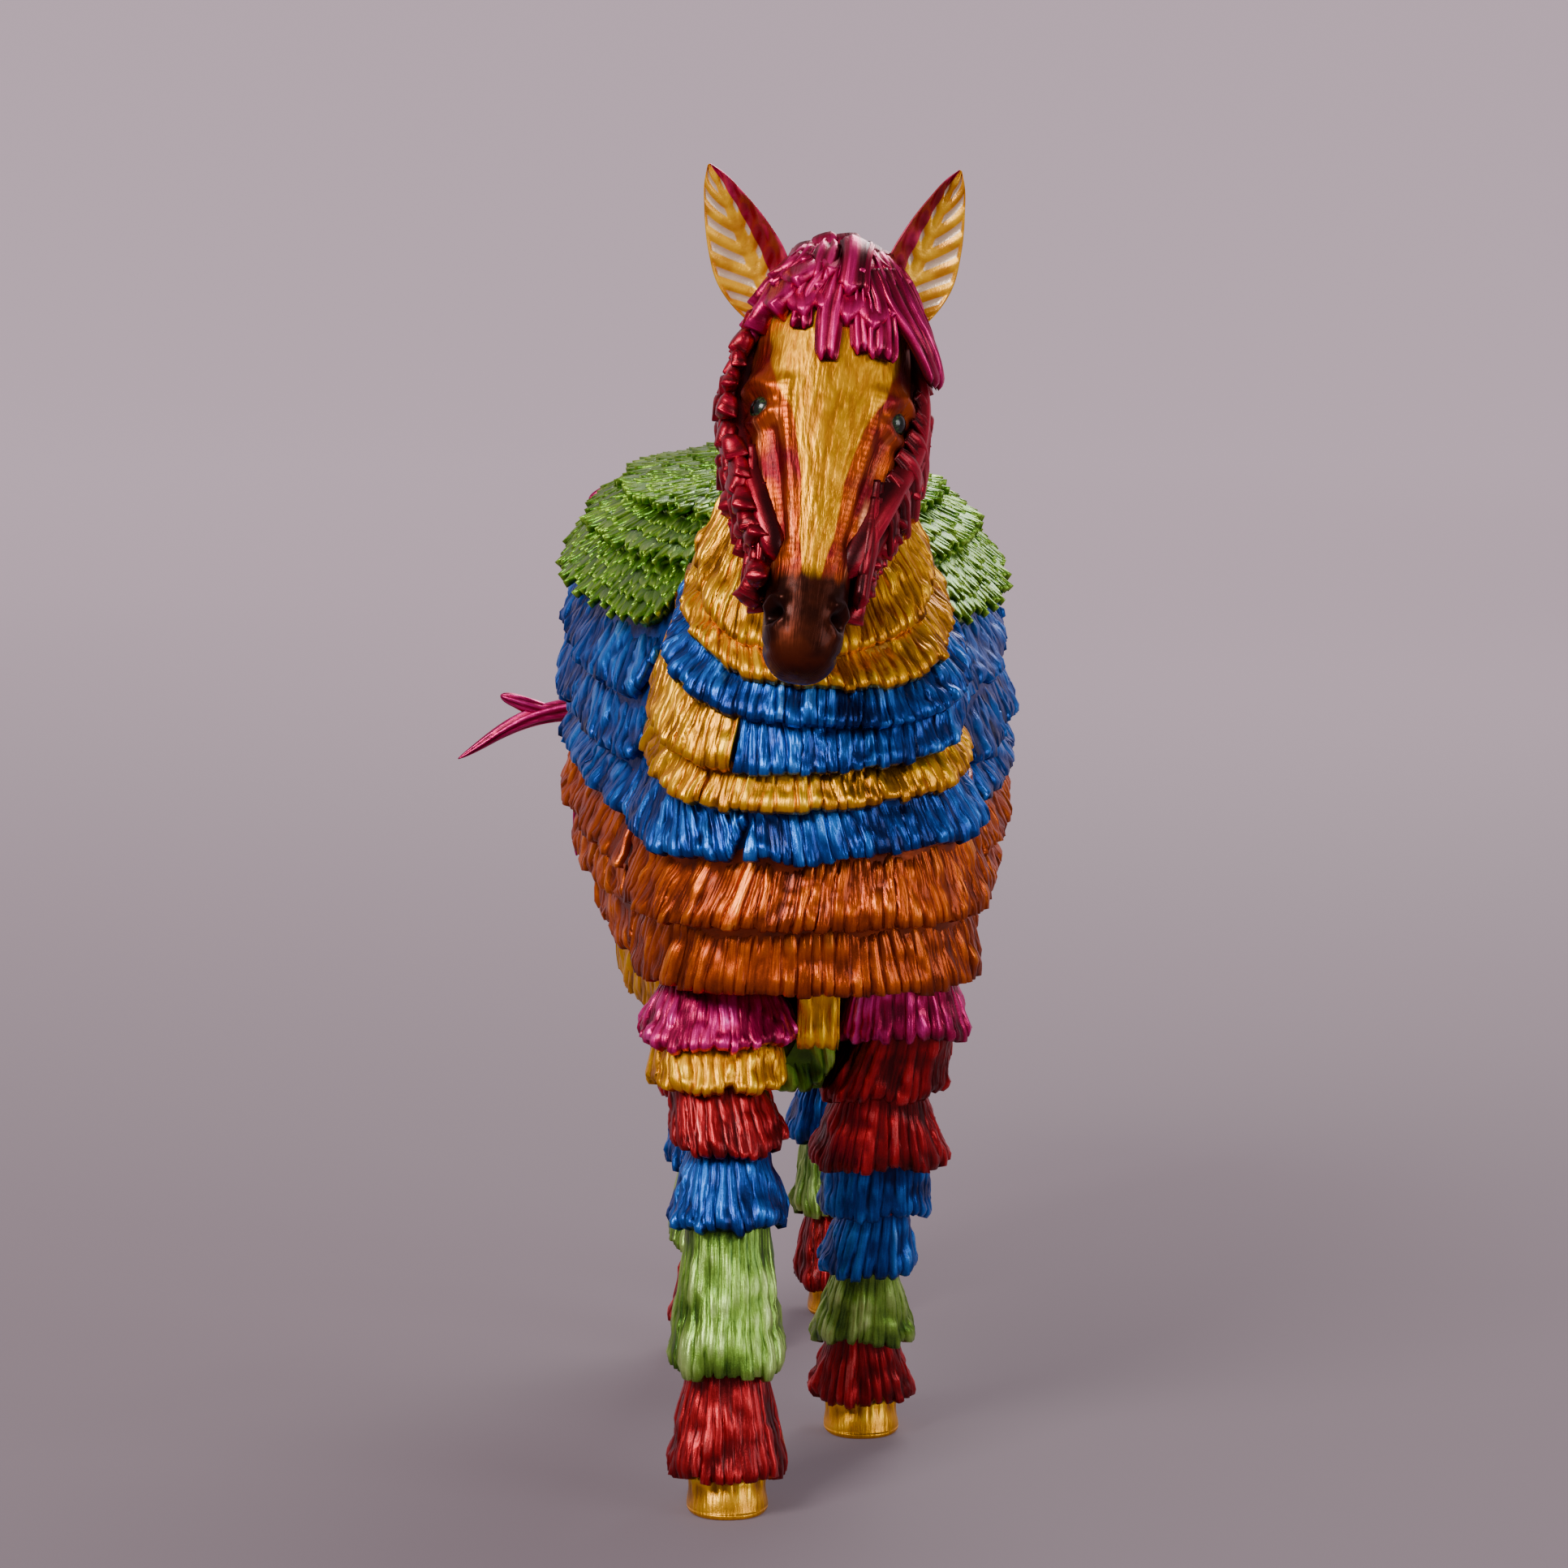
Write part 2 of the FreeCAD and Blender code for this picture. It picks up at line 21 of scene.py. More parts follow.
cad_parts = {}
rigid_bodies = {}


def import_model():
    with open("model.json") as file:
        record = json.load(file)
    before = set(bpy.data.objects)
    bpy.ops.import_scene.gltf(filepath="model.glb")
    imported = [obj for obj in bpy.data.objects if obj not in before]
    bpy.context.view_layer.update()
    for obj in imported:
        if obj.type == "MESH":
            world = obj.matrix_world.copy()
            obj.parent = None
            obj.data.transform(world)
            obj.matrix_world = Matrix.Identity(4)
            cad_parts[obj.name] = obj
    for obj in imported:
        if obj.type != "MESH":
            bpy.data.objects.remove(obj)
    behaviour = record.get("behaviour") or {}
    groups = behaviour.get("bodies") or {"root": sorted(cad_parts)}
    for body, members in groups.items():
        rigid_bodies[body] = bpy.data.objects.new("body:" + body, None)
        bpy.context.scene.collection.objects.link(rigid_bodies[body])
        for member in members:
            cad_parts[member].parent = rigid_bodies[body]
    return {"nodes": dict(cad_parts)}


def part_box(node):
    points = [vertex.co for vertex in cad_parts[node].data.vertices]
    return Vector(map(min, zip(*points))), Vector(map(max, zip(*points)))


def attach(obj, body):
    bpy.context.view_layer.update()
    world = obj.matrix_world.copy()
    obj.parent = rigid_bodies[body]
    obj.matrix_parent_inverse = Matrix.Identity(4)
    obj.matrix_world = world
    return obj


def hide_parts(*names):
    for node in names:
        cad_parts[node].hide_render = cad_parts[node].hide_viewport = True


for startup_object in list(bpy.data.objects):
    bpy.data.objects.remove(startup_object)
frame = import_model()

LOG = logging.getLogger("pinata")
MM = 0.001
BODY_SEED, NECK_SEED, LEG_SEED, NEXT_LEG, NEXT_NODE = 1000, 2000, 3000, 500, 101
Array = np.ndarray
Colour = tuple[float, float, float]
Piece = bpy.types.Object
Socket = bpy.types.NodeSocket
Values = dict[str, object]


class Slot(Enum):
    """The record's material slots."""

    LEAF_GREEN = "leaf_green"
    COBALT_BLUE = "cobalt_blue"
    COPPER_ORANGE = "copper_orange"
    MARIGOLD = "marigold"
    CRIMSON = "crimson"
    MAGENTA = "magenta"
    GILT = "gilt"
    HEAD_PAINT = "head_paint"
    EAR_PAINT = "ear_paint"
    EYE_GLOSS = "eye_gloss"
    CAST_RESIN = "cast_resin"
    PIN_STEEL = "pin_steel"


class Side(Enum):
    """A side of the horse, as the sign of its X."""

    LEFT = 1
    RIGHT = -1


# ---------------------------------------------------------------- node trees


class TreeBuilder:
    """Adds nodes to a shader or geometry tree and wires them."""

    def __init__(self, tree: bpy.types.NodeTree) -> None:
        """Keeps the tree that the nodes go into."""
        self.tree = tree

    @staticmethod
    def pick(sockets: Iterable[Socket], name: str) -> Socket:
        """The socket of that name that is in use, as some nodes have several.

        Args:
            sockets: A node's inputs or outputs.
            name: The name shown on the socket.

        Returns:
            The first enabled socket of that name.
        """
        return next(s for s in sockets if s.enabled and s.name == name)

    def feed(self, socket: Socket, value: object) -> None:
        """Links another socket to this one, or sets its value."""
        if isinstance(value, Socket):
            self.tree.links.new(value, socket)
        elif value is not None:
            socket.default_value = value

    def add(self, kind: str, inputs: Values | None = None, **settings: object) -> bpy.types.Node:
        """Adds one node.

        Args:
            kind: The node's type name.
            inputs: Values or sockets by input name.
            settings: The node's own properties.

        Returns:
            The new node.
        """
        node = self.tree.nodes.new(kind)
        for key, value in settings.items():
            setattr(node, key, value)
        for name, value in (inputs or {}).items():
            self.feed(self.pick(node.inputs, name), value)
        return node

    def math(self, operation: str, *terms: object) -> Socket:
        """The result of a Math node on the terms, in order."""
        node = self.add("ShaderNodeMath", operation=operation)
        for socket, value in zip(node.inputs, terms):
            self.feed(socket, value)
        return node.outputs[0]

    def swung(self, value: object, amount: object, base: object) -> Socket:
        """The base plus the amount times how far a value from 0 to 1 is above a half."""
        return self.math("MULTIPLY_ADD", self.math("SUBTRACT", value, 0.5), amount, base)

    def times(self, *terms: object) -> Socket:
        """The product of two terms."""
        return self.math("MULTIPLY", *terms)

    def plus_times(self, *terms: object) -> Socket:
        """The product of the first two terms, plus the third."""
        return self.math("MULTIPLY_ADD", *terms)

    def vector(self, operation: str, *terms: object) -> Socket:
        """The vector result of a Vector Math node on the terms, in order."""
        node = self.add("ShaderNodeVectorMath", operation=operation)
        for socket, value in zip(node.inputs, terms):
            self.feed(socket, value)
        return node.outputs[0]

    def scaled(self, vector: object, factor: object) -> Socket:
        """The vector times a number."""
        inputs = {"Vector": vector, "Scale": factor}
        return self.add("ShaderNodeVectorMath", inputs, operation="SCALE").outputs[0]

    def noise(self, at: object, scale: float, detail: float = 2.0) -> Socket:
        """Smooth noise from 0 to 1, with scale in waves per metre."""
        inputs = {"Vector": at, "Scale": scale, "Detail": detail}
        return self.add("ShaderNodeTexNoise", inputs).outputs[0]

    def remap(
        self,
        value: object,
        low: float,
        high: float,
        to_low: float = 0.0,
        to_high: float = 1.0,
        kind: str = "SMOOTHSTEP",
    ) -> Socket:
        """The value taken from one range to another and held there at its ends.

        Args:
            value: What to map.
            low: Where the first range starts.
            high: Where the first range ends.
            to_low: The result at low.
            to_high: The result at high.
            kind: How it goes from one to the other, eased if nothing is said.

        Returns:
            The mapped value.
        """
        names = ("Value", "From Min", "From Max", "To Min", "To Max")
        inputs = dict(zip(names, (value, low, high, to_low, to_high)))
        return self.add("ShaderNodeMapRange", inputs, interpolation_type=kind).outputs[0]

    def named(self, name: str, kind: str = "FLOAT") -> Socket:
        """A geometry tree's attribute of that name."""
        inputs = {"Name": name}
        node = self.add("GeometryNodeInputNamedAttribute", inputs, data_type=kind)
        return self.pick(node.outputs, "Attribute")

    def stored(
        self, geometry: object, name: str, value: object, kind: str = "FLOAT", domain: str = "POINT"
    ) -> Socket:
        """The geometry with a value kept as an attribute.

        Args:
            geometry: What the attribute goes on.
            name: The attribute's name.
            value: The value to keep.
            kind: The attribute's data type.
            domain: Where it is kept.

        Returns:
            The geometry with the attribute.
        """
        inputs = {"Geometry": geometry, "Name": name, "Value": value}
        settings = {"data_type": kind, "domain": domain}
        return self.add("GeometryNodeStoreNamedAttribute", inputs, **settings).outputs[0]

    def random(
        self, low: float, high: float, key: object, seed: object, step: float = 0.0
    ) -> Socket:
        """A random number for each key.

        Args:
            low: The least it can be.
            high: The most it can be.
            key: What has one number each.
            seed: What the numbers start from.
            step: What is added to the seed.

        Returns:
            The number.
        """
        seed = self.math("ADD", seed, step) if step else seed
        inputs = {"Min": low, "Max": high, "ID": key, "Seed": seed}
        node = self.add("FunctionNodeRandomValue", inputs, data_type="FLOAT")
        return self.pick(node.outputs, "Value")


class StrandTree:
    """A geometry tree with named inputs, which turns a guide mesh into finished putty."""

    NAME: str
    NUMBERS: tuple[str, ...]
    COUNTS: tuple[str, ...] = ("Seed",)

    def __init__(self) -> None:
        """Makes the tree with its inputs and builds what is between them."""
        self.group = bpy.data.node_groups.new(self.NAME, "GeometryNodeTree")
        sockets = {"Geometry": "NodeSocketGeometry"}
        sockets |= dict.fromkeys(self.NUMBERS, "NodeSocketFloat")
        sockets |= dict.fromkeys(self.COUNTS, "NodeSocketInt")
        sockets["Material"] = "NodeSocketMaterial"
        self.identifiers = {}
        for key, kind in sockets.items():
            item = self.group.interface.new_socket(key, in_out="INPUT", socket_type=kind)
            self.identifiers[key] = item.identifier
        self.group.interface.new_socket("Geometry", in_out="OUTPUT", socket_type="NodeSocketGeometry")
        self.build = TreeBuilder(self.group)
        self.given = self.build.add("NodeGroupInput").outputs
        finished = self.shaped()
        whole = self.build.add("GeometryNodeRealizeInstances", {"Geometry": finished}).outputs[0]
        painted = {"Geometry": whole, "Material": self.given["Material"]}
        last = self.build.add("GeometryNodeSetMaterial", painted).outputs[0]
        self.build.add("NodeGroupOutput", {"Geometry": last})

    def shaped(self) -> Socket:
        """The geometry that the tree makes, before it is painted."""
        raise NotImplementedError

    @staticmethod
    def settings(source: object, names: Sequence[str]) -> Values:
        """An object's fields, under the names that a tree's inputs have."""
        return {name: getattr(source, name.lower().replace(" ", "_")) for name in names}

    def grown(self, name: str, guide: Piece, values: Values) -> Piece:
        """Runs the tree on a guide and keeps the result as a plain mesh.

        Args:
            name: The finished object's name.
            guide: The guide, which is removed afterwards.
            values: The tree's inputs by name.

        Returns:
            The finished object, at the origin.
        """
        modifier = guide.modifiers.new(name, "NODES")
        modifier.node_group = self.group
        for key, value in values.items():
            modifier[self.identifiers[key]] = value
        graph = bpy.context.evaluated_depsgraph_get()
        evaluated = guide.evaluated_get(graph)
        mesh = bpy.data.meshes.new_from_object(
            evaluated, preserve_all_data_layers=True, depsgraph=graph
        )
        guide.modifiers.remove(modifier)
        bpy.data.objects.remove(guide)
        mesh.shade_smooth()
        made = bpy.data.objects.new(name, mesh)
        bpy.context.scene.collection.objects.link(made)
        return made


class PleatTree(StrandTree):
    """Presses grooves into a strip, cuts its lower edge ragged and gives it thickness."""

    NAME = "pleated_strip"
    SHAPE = (
        "Depth", "Fine Depth", "Spread", "Wave", "Lean", "Hollow", "Lift", "Thickness", "Flatness"
    )
    NUMBERS = ("Pitch", "Fine Pitch", *SHAPE)
    WELD = 1e-7  # metres between points that become one
    COUNTS = ("Count", "Fine Count", "Seed")

    def cells(
        self, along: object, pitch: str, count: str, flatness: object
    ) -> tuple[object, object]:
        """Divides a strip into strands.

        Args:
            along: The distance along the strip.
            pitch: The input that holds the strands' width.
            count: The input that holds their number, where the strip closes on itself.
            flatness: How flat their tops are.

        Returns:
            Each strand's number, and how high the strand stands from 0 to 1.
        """
        b, given = self.build, self.given
        place = b.math("DIVIDE", along, given[pitch])
        number = b.math("FLOORED_MODULO", b.math("FLOOR", place), given[count])
        across = b.math("ABSOLUTE", b.plus_times(b.math("FRACT", place), 2.0, -1.0))
        dip = b.math("POWER", across, flatness)
        return number, b.math("SUBTRACT", 1.0, dip)

    def shaped(self) -> Socket:
        """The pleated strip as a closed shell."""
        b, given = self.build, self.given
        position = b.add("GeometryNodeInputPosition").outputs[0]
        seed = given["Seed"]
        along, down = b.named("along"), b.named("down")
        outward, fall = b.named("outward", "FLOAT_VECTOR"), b.named("fall", "FLOAT_VECTOR")
        side = b.vector("CROSS_PRODUCT", outward, fall)
        apart = b.add("ShaderNodeCombineXYZ", {"X": seed}).outputs[0]
        apart = b.vector("ADD", position, apart)

        level = b.vector("MULTIPLY", apart, (1.0, 1.0, 0.14))
        sway = b.math("SUBTRACT", b.noise(level, 300.0, 1.0), 0.5)
        swayed = b.plus_times(sway, b.times(given["Pitch"], 2.2), along)
        strand, ridge = self.cells(swayed, "Pitch", "Count", given["Flatness"])
        upright = b.vector("MULTIPLY", apart, (1.0, 1.0, 0.3))
        flick = b.math("SUBTRACT", b.noise(upright, 800.0, 1.0), 0.5)
        flicked = b.plus_times(flick, b.times(given["Pitch"], 0.7), swayed)
        hair, fine = self.cells(flicked, "Fine Pitch", "Fine Count", 2.6)

        height = b.random(0.55, 1.0, strand, seed)
        length = b.random(-1.0, 0.8, strand, seed, 1.0)
        lift = b.random(-0.5, 1.0, strand, seed, 2.0)
        lean = b.random(-1.0, 1.0, strand, seed, 3.0)
        fine_height = b.random(0.2, 1.0, hair, seed, 4.0)
        fine_length = b.random(-0.5, 0.5, hair, seed, 5.0)

        fade = b.remap(b.noise(apart, 420.0, 1.0), 0.35, 0.6, 0.35, 1.15)
        pressed = b.remap(down, 0.1, 0.55, 0.3, 1.0)
        depth = b.times(b.times(given["Depth"], pressed), fade)
        high = b.times(ridge, height)
        fine_high = b.times(fine, fine_height)
        fine_depth = b.times(given["Fine Depth"], pressed)
        out = b.times(high, depth)
        out = b.plus_times(fine_high, fine_depth, out)
        out = b.plus_times(given["Depth"], -0.55, out)
        square = b.times(down, down)
        out = b.plus_times(b.times(lift, square), given["Lift"], out)
        swell = b.math("SUBTRACT", b.noise(apart, 110.0, 1.5), 0.5)
        out = b.plus_times(b.times(swell, down), given["Wave"], out)
        bow = b.times(b.math("SUBTRACT", down, square), -4.0)
        out = b.plus_times(bow, given["Hollow"], out)
        rounding = b.math("POWER", b.remap(down, 0.86, 1.0), 2.0)
        out = b.plus_times(rounding, b.times(given["Thickness"], -0.55), out)

        loose = b.remap(down, 0.45, 1.0)
        wavy = b.math("SUBTRACT", b.noise(b.vector("ADD", apart, (0.3, 0.0, 0.0)), 130.0, 1.5), 0.5)
        drop = b.times(wavy, b.times(given["Wave"], 2.0))
        drop = b.plus_times(length, given["Spread"], drop)
        drop = b.plus_times(fine_length, b.times(given["Spread"], 0.4), drop)
        dip = b.math("SUBTRACT", 1.0, ridge)
        drop = b.plus_times(dip, b.times(given["Spread"], -1.3), drop)
        drop = b.times(drop, loose)
        shift = b.times(b.times(lean, square), given["Lean"])

        move = b.vector("ADD", b.scaled(outward, out), b.scaled(fall, drop))
        move = b.vector("ADD", move, b.scaled(side, shift))
        strip = {"Geometry": given["Geometry"], "Offset": move}
        strip = b.add("GeometryNodeSetPosition", strip).outputs[0]
        # The ridge value carries painted shade and highlight: high on the strands, low in the cuts, and
        # darker towards the upper edge as painted shade under the row above.
        shade = b.times(b.times(high, 0.78), fade)
        shade = b.plus_times(fine_high, 0.22, shade)
        shade = b.times(shade, b.remap(down, 0.0, 0.4, 0.45, 1.0))
        strip = b.stored(strip, "ridge", shade)
        strip = b.stored(strip, "strand", b.random(0.0, 1.0, strand, seed))

        inward = b.scaled(outward, b.times(given["Thickness"], -1.0))
        thick = {"Mesh": strip, "Offset": inward, "Individual": False}
        thick = b.add("GeometryNodeExtrudeMesh", thick, mode="FACES").outputs[0]
        thick = b.add("GeometryNodeFlipFaces", {"Mesh": thick}).outputs[0]
        joined = b.add("GeometryNodeJoinGeometry")
        for part in (strip, thick):
            b.tree.links.new(part, joined.inputs[0])
        merge = {"Geometry": joined.outputs[0], "Distance": self.WELD}
        return b.add("GeometryNodeMergeByDistance", merge).outputs[0]


class LeafTree(StrandTree):
    """Lays a small leaf of putty on each point of a guide."""

    NAME = "putty_leaves"
    NUMBERS = ("Thickness", "Curl", "Crease", "Turn", "Lift", "Point")

    def leaf(self) -> Socket:
        """One leaf, a unit long along Y and a unit wide along X, with its outside up Z."""
        b, given = self.build, self.given
        shape = {"Vertices": 10, "Side Segments": 6, "Radius": 0.5, "Depth": 1.0}
        leaf = b.add("GeometryNodeMeshCylinder", shape, fill_type="NGON").outputs[0]
        position = b.add("GeometryNodeInputPosition").outputs[0]
        x, y, z = b.add("ShaderNodeSeparateXYZ", {"Vector": position}).outputs
        share = b.math("ADD", z, 0.5)
        belly = b.math("SINE", b.plus_times(share, 2.15, 0.75))
        tip = b.math("POWER", b.math("SUBTRACT", 1.03, share), given["Point"])
        width = b.times(b.times(belly, tip), 1.5)
        middle = b.math("ABSOLUTE", b.times(x, 2.0))
        crease = b.math("COSINE", b.times(middle, 6.5))
        flat = b.times(y, b.times(given["Thickness"], 2.0))
        rise = b.plus_times(crease, b.times(given["Crease"], 0.5), flat)
        bend = b.times(b.times(share, share), given["Curl"])
        rise = b.math("ADD", rise, bend)
        place = {"X": b.times(x, width), "Y": share, "Z": rise}
        place = b.add("ShaderNodeCombineXYZ", place).outputs[0]
        leaf = b.add("GeometryNodeSetPosition", {"Geometry": leaf, "Position": place}).outputs[0]
        # Painted shade: the leaf is darker on its underside and towards its root, and lighter on its
        # crease and towards its tip as painted highlight.
        shade = b.plus_times(crease, 0.22, b.plus_times(share, 0.35, 0.35))
        shade = b.times(shade, b.remap(y, -0.1, 0.35, 0.15, 1.0))
        leaf = b.stored(leaf, "ridge", shade)
        lay = b.scaled(b.add("ShaderNodeCombineXYZ", {"X": x, "Y": share}).outputs[0], 2 * MM)
        return b.stored(leaf, "lay", lay, "FLOAT_VECTOR")

    def shaped(self) -> Socket:
        """The leaves on all points."""
        b, given = self.build, self.given
        key = b.add("GeometryNodeInputIndex").outputs[0]
        seed = given["Seed"]
        outward, fall = b.named("outward", "FLOAT_VECTOR"), b.named("fall", "FLOAT_VECTOR")
        side = b.vector("CROSS_PRODUCT", outward, fall)
        turn = b.times(b.random(-1.0, 1.0, key, seed), given["Turn"])
        lift = b.random(0.3, 1.0, key, seed, 1.0)
        lift = b.times(lift, given["Lift"])
        tilt = b.random(-1.0, 1.0, key, seed, 2.0)
        tilt = b.times(tilt, given["Turn"])
        down = b.vector("ADD", fall, b.scaled(side, turn))
        down = b.vector("ADD", down, b.scaled(outward, lift))
        up = b.vector("SUBTRACT", outward, b.scaled(fall, lift))
        up = b.vector("ADD", up, b.scaled(side, tilt))
        axes = {"Primary Axis": up, "Secondary Axis": down}
        settings = {"primary_axis": "Z", "secondary_axis": "Y"}
        rotation = b.add("FunctionNodeAxesToRotation", axes, **settings).outputs[0]
        stretch = b.random(0.8, 1.2, key, seed, 3.0)
        grow = b.add("ShaderNodeCombineXYZ", {"X": 1.0, "Y": stretch, "Z": 1.0}).outputs[0]
        placed = {
            "Points": given["Geometry"],
            "Instance": self.leaf(),
            "Rotation": rotation,
            "Scale": b.vector("MULTIPLY", b.named("size", "FLOAT_VECTOR"), grow),
        }
        placed = b.add("GeometryNodeInstanceOnPoints", placed).outputs[0]
        tint = b.random(0.0, 1.0, b.add("GeometryNodeInputIndex").outputs[0], seed)
        return b.stored(placed, "strand", tint, domain="INSTANCE")


# ---------------------------------------------------------------- finishes


class ShaderBuilder(TreeBuilder):
    """Adds nodes to a material and wires them to its shader."""

    def __init__(self, tree: bpy.types.NodeTree) -> None:
        """Keeps the material's tree and finds its shader."""
        super().__init__(tree)
        self.shader = tree.nodes["Principled BSDF"]

    def attribute(self, name: str, output: str = "Fac") -> Socket:
        """A mesh attribute."""
        return self.add("ShaderNodeAttribute", attribute_name=name).outputs[output]

    def own_place(self) -> Socket:
        """The piece's own coordinates, in metres."""
        return self.add("ShaderNodeTexCoord").outputs["Object"]

    def ramp(
        self, factor: object, stops: Sequence[tuple[float, Colour]], hard: bool = False
    ) -> Socket:
        """A colour that runs through the stops as the factor goes from 0 to 1.

        Args:
            factor: What drives the colour.
            stops: Each stop's place and colour.
            hard: Whether the colours meet without a blend.

        Returns:
            The colour socket.
        """
        node = self.add("ShaderNodeValToRGB", {"Fac": factor})
        if hard:
            node.color_ramp.interpolation = "CONSTANT"
        elements = node.color_ramp.elements
        while len(elements) < len(stops):
            elements.new(0.5)
        for element, (place, colour) in zip(elements, stops):
            element.position = place
            element.color = (*colour, 1.0)
        return node.outputs[0]

    def mix(self, factor: object, first: object, second: object) -> Socket:
        """The first colour at factor 0, the second at 1, and a blend between."""
        node = self.add("ShaderNodeMix", {"Factor": factor}, data_type="RGBA")
        for name, value in (("A", first), ("B", second)):
            value = (*value, 1.0) if isinstance(value, tuple) else value
            self.feed(self.pick(node.inputs, name), value)
        return self.pick(node.outputs, "Result")

    def surface(
        self,
        colour: object,
        metallic: float,
        roughness: object,
        bumps: Sequence[tuple[object, float]],
        coat: tuple[float, float] = (0.0, 0.03),
    ) -> None:
        """Sets the shader up.

        Args:
            colour: Its base colour.
            metallic: How metallic it is.
            roughness: Its roughness.
            bumps: Each bump's height and its depth in metres.
            coat: The clear coat's weight and roughness.
        """
        names = ("Base Color", "Metallic", "Roughness", "Coat Weight", "Coat Roughness")
        for name, value in zip(names, (colour, metallic, roughness, *coat)):
            self.feed(self.shader.inputs[name], value)
        normal = None
        for height, depth in bumps:
            inputs = {"Height": height, "Distance": depth, "Strength": 1.0, "Normal": normal}
            normal = self.add("ShaderNodeBump", inputs).outputs[0]
        self.feed(self.shader.inputs["Normal"], normal)


class Finish:
    """A painted or bare surface, made into a material the first time it is asked for."""

    name: str
    slot: Slot

    def nodes(self, b: ShaderBuilder) -> None:
        """Wires what the surface has to the shader."""
        raise NotImplementedError

    def material(self) -> bpy.types.Material:
        """The finish as a material, shared by every piece that has it."""
        made = bpy.data.materials.get(self.name)
        if not made:
            made = bpy.data.materials.new(self.name)
            made.use_nodes = True
            self.nodes(ShaderBuilder(made.node_tree))
        return made


@dataclass(frozen=True)
class MetallicPaint(Finish):
    """Metallic craft paint, dark in the grooves and rubbed light along the ridges, with painted shade
    in the grooves and painted highlights on the ridges.
    """

    name: str
    slot: Slot
    # groove_shade is painted shade in the cuts; ridge is the paint rubbed light on the ridges and also
    # a painted highlight; glint is a painted highlight.
    groove_shade: Colour
    body: Colour
    ridge: Colour
    glint: Colour
    metallic: float = 0.8
    roughness: tuple[float, float] = (0.28, 0.46)
    coat: tuple[float, float] = (0.12, 0.16)

    def nodes(self, b: ShaderBuilder) -> None:
        """Wires the grooves' painted shade, the ridges' painted highlights, the streaks along the
        strands, the blotches and the flakes.
        """
        place = b.own_place()
        lay = b.vector("MULTIPLY", b.attribute("lay", "Vector"), (1.0, 0.13, 1.0))
        streak = b.noise(b.vector("ADD", lay, b.scaled(place, 0.02)), 3600.0, 3.0)
        blotch = b.noise(place, 170.0, 3.0)
        flake = b.noise(place, 9000.0, 1.0)
        ridge = b.attribute("ridge")
        tone = b.plus_times(ridge, 0.82, -0.06)
        tone = b.swung(streak, 0.42, tone)
        tone = b.swung(blotch, 0.5, tone)
        tone = b.swung(flake, 0.22, tone)
        strand = b.math("SUBTRACT", b.attribute("strand"), 0.5)
        tone = b.plus_times(strand, 0.12, tone)
        # The ramp runs from painted shade in the grooves, through the paint's body, to painted
        # highlights on the ridges and their glint.
        stops = ((0.0, self.groove_shade), (0.36, self.body), (0.72, self.ridge), (1.0, self.glint))
        rough = b.remap(blotch, 0.3, 0.7, *self.roughness)
        bumps = [(streak, 0.09 * MM), (blotch, 0.3 * MM), (flake, 0.012 * MM)]
        b.surface(b.ramp(tone, stops), self.metallic, rough, bumps, self.coat)


# Each paint lists painted shade for the grooves, its body colour, its ridges rubbed light with painted
# highlight, and a painted highlight for the glint.
GREEN = MetallicPaint(
    "leaf_green_paint", Slot.LEAF_GREEN, (0.010, 0.050, 0.003), (0.095, 0.25, 0.010),
    (0.34, 0.56, 0.05), (0.66, 0.82, 0.24),
)
PALE_GREEN = MetallicPaint(
    "pale_green_paint", Slot.LEAF_GREEN, (0.030, 0.085, 0.006), (0.22, 0.40, 0.045),
    (0.52, 0.74, 0.20), (0.82, 0.92, 0.50),
)
BLUE = MetallicPaint(
    "cobalt_blue_paint", Slot.COBALT_BLUE, (0.001, 0.006, 0.060), (0.003, 0.050, 0.30),
    (0.020, 0.19, 0.72), (0.20, 0.50, 1.0),
)
ORANGE = MetallicPaint(
    "copper_orange_paint", Slot.COPPER_ORANGE, (0.13, 0.012, 0.001), (0.40, 0.050, 0.001),
    (0.70, 0.125, 0.002), (1.0, 0.32, 0.04),
)
YELLOW = MetallicPaint(
    "marigold_paint", Slot.MARIGOLD, (0.28, 0.085, 0.001), (0.84, 0.35, 0.001),
    (1.0, 0.51, 0.001), (1.0, 0.68, 0.03),
    metallic=0.92,
)
CRIMSON = MetallicPaint(
    "crimson_paint", Slot.CRIMSON, (0.060, 0.001, 0.002), (0.25, 0.002, 0.006),
    (0.56, 0.014, 0.022), (0.95, 0.16, 0.15),
)
MAGENTA = MetallicPaint(
    "magenta_paint", Slot.MAGENTA, (0.10, 0.001, 0.014), (0.48, 0.002, 0.085),
    (0.90, 0.025, 0.32), (1.0, 0.34, 0.78),
)
CERISE = MetallicPaint(
    "cerise_paint", Slot.MAGENTA, (0.060, 0.001, 0.006), (0.34, 0.001, 0.045),
    (0.84, 0.010, 0.22), (1.0, 0.22, 0.66),
)
WINE = MetallicPaint(
    "wine_paint", Slot.CRIMSON, (0.040, 0.001, 0.003), (0.22, 0.001, 0.010),
    (0.60, 0.010, 0.045), (0.92, 0.09, 0.24),
)
GILT = MetallicPaint(
    "gilt_paint", Slot.GILT, (0.44, 0.16, 0.004), (1.0, 0.46, 0.012),
    (1.0, 0.62, 0.03), (1.0, 0.80, 0.16),
    metallic=0.92,
    roughness=(0.32, 0.50),
)


